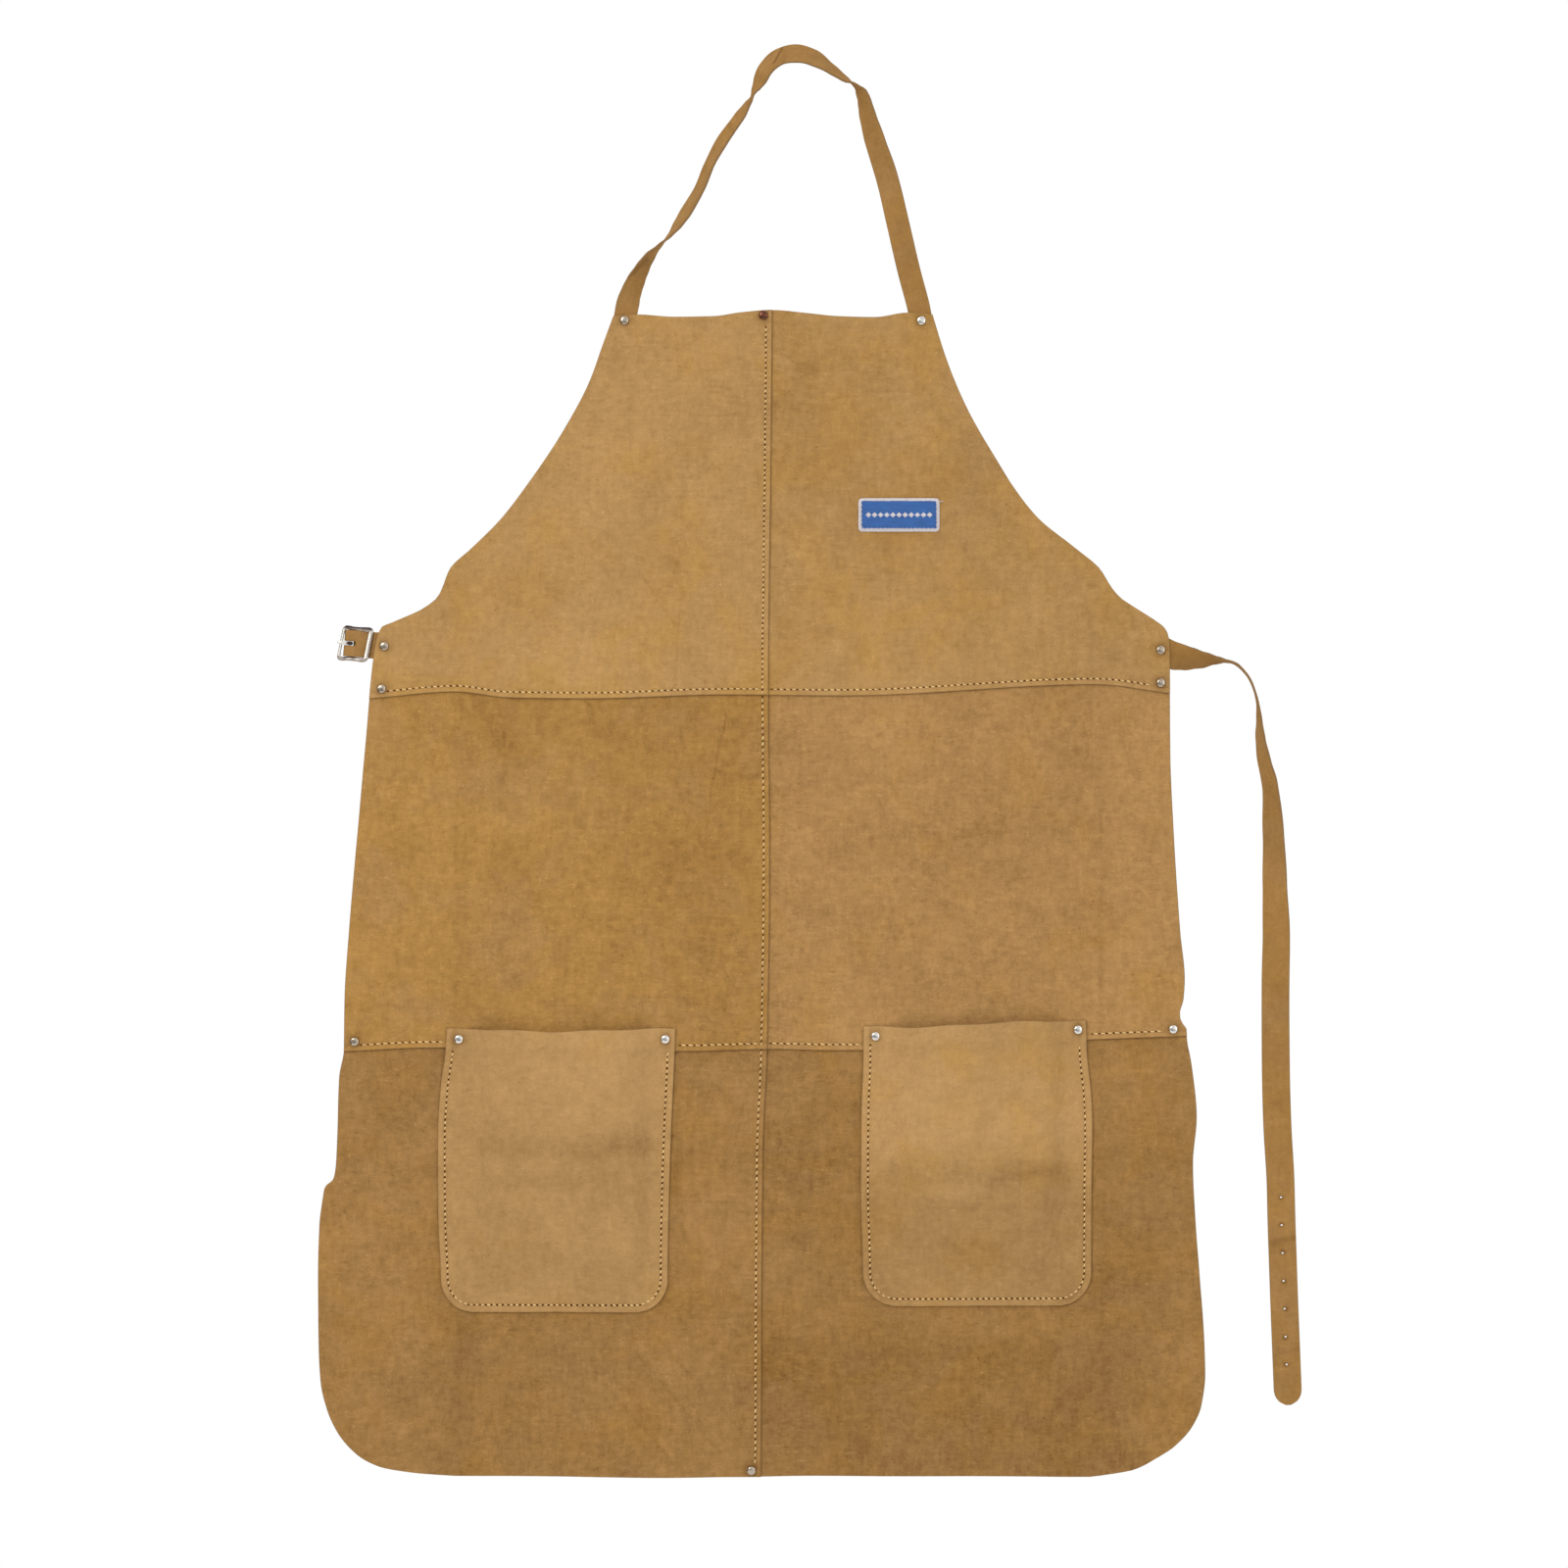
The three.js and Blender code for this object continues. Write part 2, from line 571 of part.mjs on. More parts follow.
add('neck_strap', cut(neckStrap, rivetHoles('neck_strap')), SUEDE_STRAP);

const WAIST_Y = FRONT.waist_strap + STRAP / 2;
const { x: WX, z: WZ } = WAIST_RIVET;
const waistStops = [
    [WX - 13, WAIST_Y, WZ + 1.5, 0],
    [WX, WAIST_Y, WZ, 0],
    [WX + 9, WAIST_Y + 0.4, WZ - 3.5, 0],
    [WX + 21.5, 8, WZ - 5.5, 30],
    [WX + 34, 12, WZ - 7, 56],
    [WX + 46, 14, WZ - 7.5, 80],
    [WX + 53, 14.5, WZ - 8.3, 90],
    [WX + 60, 15, WZ - 10, 90],
    [WX + 66, 15, WZ - 15, 90],
    [WX + 71.5, 15.5, WZ - 22, 90],
    [WX + 75.5, 16, WZ - 31.5, 90],
    [WX + 78, 17, WZ - 41, 88],
    [WX + 79.5, 18, WZ - 55, 80],
    [WX + 81, 19, WZ - 69, 72],
    [WX + 84.5, 19, WZ - 87, 63],
    [WX + 89, 19, WZ - 105, 61],
    [WX + 91.5, 19, WZ - 144, 45],
    [WX + 92.2, 18, WZ - 183, 32],
    [WX + 92.8, 17, WZ - 221.5, 24],
    [WX + 92, 16, WZ - 260, 18],
    [WX + 92.4, 16, WZ - 338, 15],
    [WX + 93.5, 15.5, WZ - 377, 8],
    [WX + 95.7, 15, WZ - 416, 0],
    [WX + 96.7, 15, WZ - 453, 0],
    [WX + 99.4, 15, WZ - 531, 0],
    [WX + 102, 15, WZ - 595, 0],
];
const waist = strapFrames(waistStops, 84);
const tipShare = TIP_LENGTH / waist.length;

function waistHalfWidth(share) {
    const past = (share - (1 - tipShare)) / tipShare;
    return (WAIST_STRAP_WIDTH / 2) * (past > 0 ? Math.max(0.12, Math.sqrt(1 - Math.min(past, 0.99))) : 1);
}

// a hole through the strap, square to its face, at a distance from its tip
function strapHole(fromTip) {
    const index = (1 - fromTip / waist.length) * (waist.frames.length - 1);
    const before = waist.frames[Math.floor(index)];
    const after = waist.frames[Math.ceil(index)];
    const at = before.at.clone().lerp(after.at, index - Math.floor(index));
    const reach = before.normal.clone().multiplyScalar(2 * STRAP);
    return pin(HOLE_RADIUS, at.clone().sub(reach), at.clone().add(reach), 10);
}

const strapHoles = Array.from({ length: STRAP_HOLES }, (_, i) => strapHole(FIRST_HOLE + i * HOLE_PITCH));
const waistStrap = strapGeometry(waist.frames, WAIST_STRAP_WIDTH, waistHalfWidth);
add('waist_strap', cut(waistStrap, [...rivetHoles('waist_strap'), ...strapHoles]), SUEDE_STRAP);

// ---------------------------------------------------------------- tab and buckle

// The tab group's x runs along the tab and starts at the tab's rivet, and its y is the apron's y.
const tabGroup = new THREE.Group();
tabGroup.position.set(TAB_RIVET.x, 0, TAB_RIVET.z);
tabGroup.rotation.y = THREE.MathUtils.degToRad(BUCKLE_TILT);
apron.add(tabGroup);

const TAB_Y = FRONT.buckle_tab + STRAP / 2; // middle of the front layer at the rivet
const BAR_Y = FRONT.buckle_tab + GAP + 3.0; // middle of the centre bar
const SIDE_BAR_Y = FRONT.buckle_tab + GAP + RIGHT_BAR_THICKNESS / 2; // middle of the outer bars
// middle of the tab's front layer where it runs behind the right bar
const UNDER_BAR_Y = SIDE_BAR_Y + RIGHT_BAR_THICKNESS / 2 + GAP + STRAP / 2;
const FOLD_RADIUS = CENTRE_BAR_RADIUS + GAP + STRAP / 2; // the folded tab's middle line round the bar
const TAB_END = 9; // tab past the rivet
const RAIL_Z = TAB_WIDTH / 2 + BUCKLE_SIDE_CLEARANCE;

function tabMiddleLine() {
    const fold = line(-Math.PI / 2, -1.5 * Math.PI, 8, (angle) => [
        BUCKLE_CENTRE_BAR + FOLD_RADIUS * Math.cos(angle),
        BAR_Y + FOLD_RADIUS * Math.sin(angle),
    ]);
    const front = [
        [TAB_END, TAB_Y],
        [-3.5, TAB_Y],
        [BUCKLE_RIGHT_BAR + RIGHT_BAR_WIDTH / 2 + 0.6, UNDER_BAR_Y - 0.3],
        [BUCKLE_RIGHT_BAR, UNDER_BAR_Y],
        [BUCKLE_RIGHT_BAR - RIGHT_BAR_WIDTH / 2 - 1.2, UNDER_BAR_Y - 0.5],
        [BUCKLE_CENTRE_BAR + 3.5, BAR_Y - FOLD_RADIUS + 0.2],
    ];
    const back = [
        [BUCKLE_CENTRE_BAR + 6, BAR_Y + FOLD_RADIUS + 0.6],
        [BUCKLE_RIGHT_BAR, UNDER_BAR_Y + TAB_LAYER_SHIFT],
        [BUCKLE_RIGHT_BAR + RIGHT_BAR_WIDTH / 2 + 1.2, UNDER_BAR_Y + TAB_LAYER_SHIFT - 0.2],
        [-3.5, TAB_Y + TAB_LAYER_SHIFT],
        [TAB_END, TAB_Y + TAB_LAYER_SHIFT],
    ];
    return [...front, ...fold, ...back];
}

function tabOutline() {
    const middle = new THREE.CatmullRomCurve3(
        tabMiddleLine().map(([x, y]) => new THREE.Vector3(x, y, 0)),
        false,
        'centripetal',
    );
    const count = 64;
    const near = [];
    const far = [];
    for (let i = 0; i <= count; i += 1) {
        const at = middle.getPointAt(i / count);
        const along = middle.getTangentAt(i / count);
        near.push([at.x - (along.y * STRAP) / 2, at.y + (along.x * STRAP) / 2]);
        far.push([at.x + (along.y * STRAP) / 2, at.y - (along.x * STRAP) / 2]);
    }
    return outline([...near, ...far.reverse()]);
}

function upright(shape, height, z = 0) {
    const settings = { depth: height, bevelEnabled: false, curveSegments: 12 };
    const geometry = new THREE.ExtrudeGeometry(shape, settings);
    geometry.translate(0, 0, z - height / 2);
    return geometry;
}

const EYE_RADIUS = CENTRE_BAR_RADIUS + GAP + 1.1; // of the prong
const slotWidth = PRONG_WIDTH + 2 * GAP + 0.4;
const slotFrom = BUCKLE_CENTRE_BAR - FOLD_RADIUS - STRAP;
// the slot is longer in the front layer, so that the prong can stand up in it
const slotBox = (slotTo, y) => {
    const box = new THREE.BoxGeometry(slotTo - slotFrom, REACH, slotWidth);
    box.translate((slotFrom + slotTo) / 2, y, 0);
    return box;
};
const tab = cut(upright(tabOutline(), TAB_WIDTH), [
    slotBox(BUCKLE_CENTRE_BAR + EYE_RADIUS + GAP, 0),
    slotBox(BUCKLE_CENTRE_BAR + EYE_RADIUS + PRONG_THICKNESS + 1.1, BAR_Y - REACH / 2),
    holeThrough(0, 0, RIVET_HOLE),
]);
add('buckle_tab', tab, SUEDE_STRAP, tabGroup);

// side rail: bowed back to the centre bar, where it is deep enough to hold the bar
function railOutline() {
    const left = BUCKLE_LEFT_BAR;
    const right = BUCKLE_RIGHT_BAR;
    const bossHalf = CENTRE_BAR_RADIUS + GAP + 0.9;
    const endHalf = RIGHT_BAR_THICKNESS / 2;
    const bow = (x) => {
        const span = x < BUCKLE_CENTRE_BAR ? BUCKLE_CENTRE_BAR - left : right - BUCKLE_CENTRE_BAR;
        return 1 - smooth(Math.abs(x - BUCKLE_CENTRE_BAR) / span);
    };
    const edge = (sign) => (x) => [
        x,
        lerp(SIDE_BAR_Y, BAR_Y, bow(x)) + sign * lerp(endHalf, bossHalf, bow(x)),
    ];
    return outline([...line(left, right, 12, edge(-1)), ...line(right, left, 12, edge(1))]);
}

const frameHalf = RAIL_Z + BUCKLE_RAIL;
const barEnds = (x, y) => [new THREE.Vector3(x, y, -frameHalf), new THREE.Vector3(x, y, frameHalf)];
const rightBarShape = outline([
    [BUCKLE_RIGHT_BAR - RIGHT_BAR_WIDTH / 2, SIDE_BAR_Y + RIGHT_BAR_THICKNESS / 2],
    [BUCKLE_RIGHT_BAR - RIGHT_BAR_WIDTH / 2, SIDE_BAR_Y - RIGHT_BAR_THICKNESS * 0.1],
    [BUCKLE_RIGHT_BAR - RIGHT_BAR_WIDTH / 4, SIDE_BAR_Y - RIGHT_BAR_THICKNESS / 2],
    [BUCKLE_RIGHT_BAR + RIGHT_BAR_WIDTH / 4, SIDE_BAR_Y - RIGHT_BAR_THICKNESS / 2],
    [BUCKLE_RIGHT_BAR + RIGHT_BAR_WIDTH / 2, SIDE_BAR_Y - RIGHT_BAR_THICKNESS * 0.1],
    [BUCKLE_RIGHT_BAR + RIGHT_BAR_WIDTH / 2, SIDE_BAR_Y + RIGHT_BAR_THICKNESS / 2],
]);
const buckleFrame = join([
    upright(railOutline(), BUCKLE_RAIL, RAIL_Z + BUCKLE_RAIL / 2),
    upright(railOutline(), BUCKLE_RAIL, -RAIL_Z - BUCKLE_RAIL / 2),
    upright(rightBarShape, 2 * frameHalf),
    pin(LEFT_BAR_RADIUS, ...barEnds(BUCKLE_LEFT_BAR, SIDE_BAR_Y)),
]);
const barBore = pin(CENTRE_BAR_RADIUS + GAP, ...barEnds(BUCKLE_CENTRE_BAR, BAR_Y).map((end) => end.multiply(
    new THREE.Vector3(1, 1, 2),
)));
add('buckle_frame', cut(buckleFrame, [barBore]), STEEL, tabGroup);
add('buckle_centre_bar', pin(CENTRE_BAR_RADIUS, ...barEnds(BUCKLE_CENTRE_BAR, BAR_Y)), STEEL, tabGroup);

// prong: an eye round the centre bar and a tongue that rests on the left bar
const PRONG_REST_Y = SIDE_BAR_Y - LEFT_BAR_RADIUS - GAP; // tongue's back face at the left bar

function prongGeometry() {
    const eye = new THREE.Shape();
    eye.absarc(BUCKLE_CENTRE_BAR, BAR_Y, EYE_RADIUS, 0, 2 * Math.PI, false);
    const tip = BUCKLE_LEFT_BAR - LEFT_BAR_RADIUS - PRONG_OVERHANG;
    const tongue = outline([
        [BUCKLE_CENTRE_BAR - 0.6, BAR_Y - EYE_RADIUS + 0.1],
        [BUCKLE_CENTRE_BAR - 3.2, PRONG_REST_Y - PRONG_THICKNESS],
        [tip + 1.2, PRONG_REST_Y - PRONG_THICKNESS],
        [tip, PRONG_REST_Y + 0.1],
        [tip + 0.5, PRONG_REST_Y + 0.5],
        [BUCKLE_LEFT_BAR - LEFT_BAR_RADIUS, PRONG_REST_Y],
        [BUCKLE_LEFT_BAR + LEFT_BAR_RADIUS, PRONG_REST_Y],
        [BUCKLE_CENTRE_BAR - EYE_RADIUS * 0.9, BAR_Y],
        [BUCKLE_CENTRE_BAR - 0.2, BAR_Y],
    ]);
    return join([upright(eye, PRONG_WIDTH), upright(tongue, PRONG_WIDTH)]);
}

const prongBore = pin(
    CENTRE_BAR_RADIUS + GAP,
    new THREE.Vector3(BUCKLE_CENTRE_BAR, BAR_Y, -PRONG_WIDTH),
    new THREE.Vector3(BUCKLE_CENTRE_BAR, BAR_Y, PRONG_WIDTH),
);
add('buckle_prong', cut(prongGeometry(), [prongBore]), STEEL, tabGroup);

// ---------------------------------------------------------------- label

const LABEL_Z = TOP_Z - LABEL_DROP;
const LABEL_BACK = FRONT.panel_upper_right - GAP;

function rectangle(width, height) {
    const corners = [[-1, -1], [1, -1], [1, 1], [-1, 1]];
    return corners.map(([x, z]) => [LABEL_X + (x * width) / 2, LABEL_Z + (z * height) / 2]);
}

function ring(name, width, height, band, front, thickness, material) {
    const shape = outline(rectangle(width, height));
    shape.holes.push(outline(rectangle(width - 2 * band, height - 2 * band)));
    add(name, plateGeometry(shape, front, thickness), material);
}

const insideBorder = 2 * (LABEL_BORDER + GAP);
add('label_patch', plateGeometry(
    outline(rectangle(LABEL_WIDTH - insideBorder, LABEL_HEIGHT - insideBorder)),
    LABEL_BACK - LABEL_THICKNESS,
    LABEL_THICKNESS,
), BLUE_WEAVE);
const borderFront = LABEL_BACK - LABEL_BORDER_THICKNESS;
ring('label_border', LABEL_WIDTH, LABEL_HEIGHT, LABEL_BORDER,
    borderFront, LABEL_BORDER_THICKNESS, WHITE_THREAD);
const threadBand = 2 * THREAD_RADIUS;
const threadInset = LABEL_BORDER - threadBand;
ring('thread_label', LABEL_WIDTH - threadInset, LABEL_HEIGHT - threadInset, threadBand,
    borderFront - GAP - threadBand, threadBand, WHITE_THREAD);

// ---------------------------------------------------------------- thread

const THREAD_LIFT = THREAD_RADIUS + GAP; // thread's middle in front of the leather
const threadEnd = (x, y, z) => new THREE.Vector3(x, y - THREAD_LIFT, z);

function centreThread(row, from, to) {
    const front = FRONT[`panel_${row}_left`];
    const end = (z) => threadEnd(centreX(z) - STITCH_INSET, front, z);
    add(`thread_centre_${row}`, pin(THREAD_RADIUS, end(from), end(to), 6), THREAD);
}

const CLEAR = 8; // thread stops this far from a crossing seam, a rivet or an edge
centreThread('upper', topEdge(CENTRE_SEAM_TOP) - 2 * CLEAR, SEAM1_Z + GAP);
centreThread('middle', SEAM1_Z - 3 * GAP, SEAM2_Z + GAP);
centreThread('lower', SEAM2_Z - 3 * GAP, HEM_Z + 1.5 * CLEAR);

function crossThread(name, seam, from, to, panel) {
    const end = (x) => threadEnd(x, FRONT[panel], seam(x) + STITCH_INSET);
    add(`thread_${name}`, pin(THREAD_RADIUS, end(from), end(to), 6), THREAD);
}

const sideOf = (side, z) => sideX(side, z) - side * (EDGE_INSET + CLEAR);
const pocketEdge = (middle, width, side) => middle + side * (width / 2 + 2);
const nearCentre = (z, side) => centreX(z) + side * CLEAR + (side < 0 ? -GAP : 0);
crossThread('waist_left', seam1, sideOf(-1, SEAM1_Z), nearCentre(SEAM1_Z, -1), 'panel_upper_left');
crossThread('waist_right', seam1, Math.max(0, nearCentre(SEAM1_Z, 1)), sideOf(1, SEAM1_Z),
    'panel_upper_right');
crossThread('skirt_left', seam2, sideOf(-1, SEAM2_Z), pocketEdge(POCKET_LEFT_X, POCKET_LEFT_WIDTH, -1),
    'panel_middle_left');
crossThread('skirt_centre_left', seam2, pocketEdge(POCKET_LEFT_X, POCKET_LEFT_WIDTH, 1),
    nearCentre(SEAM2_Z, -1), 'panel_middle_left');
crossThread('skirt_centre_right', seam2, Math.max(0, nearCentre(SEAM2_Z, 1)),
    pocketEdge(POCKET_RIGHT_X, POCKET_RIGHT_WIDTH, -1), 'panel_middle_right');
crossThread('skirt_right', seam2, pocketEdge(POCKET_RIGHT_X, POCKET_RIGHT_WIDTH, 1), sideOf(1, SEAM2_Z),
    'panel_middle_right');

function pocketThread(side, middle, width) {
    const node = `pocket_${side}`;
    const points = pocketOutline(middle, width, STITCH_INSET + 1).map(({ x, y: z }) => threadEnd(
        x,
        pocketFront(node, middle, width, x, z),
        z,
    ));
    points[0].z = seam2(points[0].x) - CLEAR;
    points[points.length - 1].z = seam2(points[points.length - 1].x) - CLEAR;
    const section = outline(line(0, (5 / 3) * Math.PI, 5, (angle) => [
        THREAD_RADIUS * Math.cos(angle),
        THREAD_RADIUS * Math.sin(angle),
    ]));
    const extrudePath = new THREE.CatmullRomCurve3(points, false, 'centripetal');
    const settings = { steps: 40, bevelEnabled: false, extrudePath };
    add(`thread_${node}`, new THREE.ExtrudeGeometry(section, settings), THREAD);
}

pocketThread('left', POCKET_LEFT_X, POCKET_LEFT_WIDTH);
pocketThread('right', POCKET_RIGHT_X, POCKET_RIGHT_WIDTH);

export default apron;
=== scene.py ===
"""Split-leather welding apron: suede panels, pockets, straps, buckle, rivets, stitching and label."""

import math

import bpy
import numpy as np
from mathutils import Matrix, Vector


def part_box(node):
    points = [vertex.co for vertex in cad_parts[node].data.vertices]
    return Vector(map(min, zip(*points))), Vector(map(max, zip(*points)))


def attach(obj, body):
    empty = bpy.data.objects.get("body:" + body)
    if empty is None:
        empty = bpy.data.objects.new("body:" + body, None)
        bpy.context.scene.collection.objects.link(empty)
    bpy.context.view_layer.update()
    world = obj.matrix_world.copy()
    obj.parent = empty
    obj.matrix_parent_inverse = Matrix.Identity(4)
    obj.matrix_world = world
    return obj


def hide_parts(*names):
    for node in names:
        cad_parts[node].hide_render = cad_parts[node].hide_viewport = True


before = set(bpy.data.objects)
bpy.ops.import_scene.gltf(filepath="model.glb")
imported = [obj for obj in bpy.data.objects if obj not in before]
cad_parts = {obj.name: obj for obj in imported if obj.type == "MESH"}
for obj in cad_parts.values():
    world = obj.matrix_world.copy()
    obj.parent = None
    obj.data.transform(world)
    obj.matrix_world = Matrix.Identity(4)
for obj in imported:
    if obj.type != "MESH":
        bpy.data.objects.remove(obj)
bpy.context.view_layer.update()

bl_info = {
    "name": "Welding Apron",
    "version": (1, 0, 0),
    "blender": (4, 5, 0),
    "location": "3D View > Sidebar > Apron",
    "description": "Builds a split-leather welding apron with its straps, buckle, rivets and stitching",
    "category": "Add Mesh",
}

MM = 0.001


# ---------------------------------------------------------------- sizes that the CAD gives, in mm


def low(node):
    return np.array(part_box(node)[0]) / MM


def high(node):
    return np.array(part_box(node)[1]) / MM


def middle(node):
    return (low(node) + high(node)) / 2


PANEL = 1.5
STRAP = 1.8
STEP = 1.8
GAP = 0.3
LAP = 13.0
HEM_Z = low("panel_lower_left")[2]
SEAM1_Z = low("panel_upper_left")[2]
SEAM2_Z = low("panel_middle_left")[2]
TOP_Z = SEAM1_Z + 299.0
STITCH_INSET = 4.6
PITCH = 4.5
FIELD_REACH = 60.0  # distances on the leather are followed this far
NECK_WIDTH = 18.0
WAIST_WIDTH = 22.0
TAB_WIDTH = 20.8
PUNCHED_RADIUS = 0.8  # holes along the waist strap
RIVET_HOLE_RADIUS = 1.9
LABEL_CORNER = 3.4
OUTWARD = np.array([0.0, -1.0, 0.0])


# ---------------------------------------------------------------- curves and fields


def lerp(a, b, t):
    return a + (b - a) * t


def smooth(t):
    t = np.clip(t, 0.0, 1.0)
    return t * t * (3 - 2 * t)


def curve(*stops):
    """A smooth function through (place, value) stops that never overshoots them."""
    places, values = (np.array(part, float) for part in zip(*sorted(stops)))
    slopes = np.diff(values) / np.diff(places)
    tangents = np.concatenate([slopes[:1], (slopes[:-1] + slopes[1:]) / 2, slopes[-1:]])
    same = slopes[:-1] * slopes[1:] > 0
    harmonic = 2 * slopes[:-1] * slopes[1:] / np.where(same, slopes[:-1] + slopes[1:], 1.0)
    tangents[1:-1] = np.where(same, harmonic, 0.0)

    def at(place):
        place = np.clip(place, places[0], places[-1])
        i = np.clip(np.searchsorted(places, place, side="right") - 1, 0, len(slopes) - 1)
        span = places[i + 1] - places[i]
        t = (place - places[i]) / span
        return (
            values[i] * (1 + 2 * t) * (1 - t) ** 2
            + tangents[i] * span * t * (1 - t) ** 2
            + values[i + 1] * t * t * (3 - 2 * t)
            - tangents[i + 1] * span * t * t * (1 - t)
        )

    return at


def ripples(x, z, seed, length, count=8):
    """Smooth random waves of about this length, mostly between -1 and 1."""
    rng = np.random.default_rng(seed)
    total = 0.0
    for _ in range(count):
        turn = rng.uniform(0, math.tau)
        size = length * rng.uniform(0.7, 1.5)
        total = total + np.sin(
            (x * math.cos(turn) + z * math.sin(turn)) * math.tau / size + rng.uniform(0, math.tau)
        )
    return total / (1.5 * math.sqrt(count / 2))


def stroke(x, z, start, end, width):
    """1 along the line from start to end, falling smoothly to 0 over this width."""
    (ax, az), (bx, bz) = start, end
    dx, dz = bx - ax, bz - az
    t = np.clip(((x - ax) * dx + (z - az) * dz) / (dx * dx + dz * dz), 0, 1)
    away = (x - ax - t * dx) ** 2 + (z - az - t * dz) ** 2
    return np.exp(-away / (width * width))


# outline of the whole apron: x of its edges by height, and the seams' heights by x
left_edge = curve(
    (-197, -136), (-220, -144.5), (-250, -155.5), (-292, -178), (-334, -206.5), (-357, -224.5),
    (-380, -247.5), (-396, -264.5), (-411, -270.5), (-418, -274), (-427, -285), (-438, -309),
    (-442, -318), (-450, -321.5), (-469, -325), (-534, -331), (-604, -337), (-681, -344),
    (-735, -347.5), (-773, -348), (-796, -352), (-862, -354.4), (-872, -355.6), (-876.5, -357.2),
    (-881, -362.4), (-884, -363.8), (-890, -364.8), (-912, -367.5),
    (-950, -368.5), (-1009, -368), (-1035, -366.5), (-1057, -361.5), (-1075, -353.3),
    (-1092, -339), (-1102, -321), (-1107, -292), (-1109.8, -250),
)  # fmt: skip
right_edge = curve(
    (-197, 114.5), (-232, 125.5), (-271, 142), (-311, 165), (-334, 179.5), (-357, 198),
    (-380, 226.5), (-396, 245.5), (-411, 255), (-419, 262), (-427, 274), (-438, 291),
    (-442, 296), (-447, 299), (-455, 300.5), (-540, 301.3), (-600, 303.8), (-681, 309),
    (-719, 312.5), (-735, 311.5), (-745, 308.8), (-751, 309.4), (-758, 314), (-766, 314.5),
    (-785, 318), (-827, 322), (-862, 319),
    (-912, 321.5), (-950, 324.5), (-1009, 328.5), (-1030, 329), (-1054, 326), (-1070, 319.3),
    (-1086, 305), (-1096, 289), (-1104, 272), (-1107, 254), (-1109.8, 232),
)  # fmt: skip
bib_top = curve(
    (-136, -0.9), (-117, 0.3), (-88, -1.4), (-58, -0.9), (-35, 2.2), (-11, 4), (15, 1.7),
    (40, -0.7), (69, -1.4), (95, 2), (114, 0.6),
)  # fmt: skip
upper_seam = curve(
    (-327, -2.2), (-260, 3.2), (-218, -1.5), (-156, -2.2), (-48, 0.9), (44, 0.1), (242, 9), (300, 2)
)
lower_seam = curve((-348, -2.3), (-275, 0.7), (-75, -2.1), (-15, -0.6), (36, -1.6), (243, 7), (313, 9.6))
hem_line = curve((-370, 0), (-180, -0.2), (-60, -0.9), (60, -0.6), (200, -0.2), (330, 0.5))
centre_seam = curve(
    (-190, -11.7), (-300, -12.6), (-496, -14.6), (-620, -13.6), (-773, -15.6), (-858, -19), (-1110, -20.5)
)

# each pocket's middle x and width
POCKETS = {"left": (-176.5, 181.0), "right": (149.0, 178.0)}
POCKET_RISE = 15.0
POCKET_DEPTH = 222.0
POCKET_CORNER = 26.0
POCKET_BULGE = 8.0
POCKET_FLANGE = 15.0
POCKET_SLOPE = 20.0
LAP_STEP = 6.0
POCKET_STITCH_INSET = 5.6


def seam2_level(x):
    return SEAM2_Z + 10 * np.maximum(0, x / 312)


RIVETS = sorted(name[len("rivet_"):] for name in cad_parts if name.startswith("rivet_"))
RIVET_SPOTS = {place: middle(f"rivet_{place}") for place in RIVETS}


def calm(x, z):
    """0 at the rivets and the label, where the leather is held flat, and 1 away from them."""
    free = 1.0
    for spot in RIVET_SPOTS.values():
        free = free * (1 - np.exp(-((x - spot[0]) ** 2 + (z - spot[2]) ** 2) / 26**2))
    label = middle("label_patch")
    over = np.hypot(np.maximum(np.abs(x - label[0]) - 34, 0), np.maximum(np.abs(z - label[2]) - 16, 0))
    return free * smooth(over / 24)


# folds pressed into the leather: start, end, width and how far each stands back
FOLDS = (
    ((-262, -500), (-257, -1090), 11, -1.5), ((246, -500), (249, -1080), 11, -1.5),
    ((-245, -520), (-240, -1060), 13, 0.8), ((230, -520), (233, -1060), 13, 0.8),
    ((-330, -612), (300, -606), 16, -0.9), ((-350, -862), (320, -858), 20, -1.3),
    ((-118, -1012), (-52, -1090), 5, -0.5), ((-96, -1006), (-30, -1080), 4, -0.4),
    ((-140, -1040), (-84, -1104), 4, -0.4), ((-300, -806), (-286, -818), 4, 0.35),
    ((-296, -800), (-280, -812), 4, -0.35),
)  # fmt: skip


def relief(x, z):
    """How far the hung leather stands behind its flat layer, in mm."""
    out = 1.5 * ripples(x, z, 11, 330) + 0.75 * ripples(x, z * 0.7, 12, 120) + 0.22 * ripples(x, z, 13, 38)
    for start, end, width, back in FOLDS:
        out = out + back * stroke(x, z, start, end, width)
    flare = smooth((-960 - z) / 150)
    out = out + flare * (2.6 * np.sin(x / 61 + 0.6) + 1.2 * np.sin(x / 27 + 2.0))
    return out * calm(x, z)


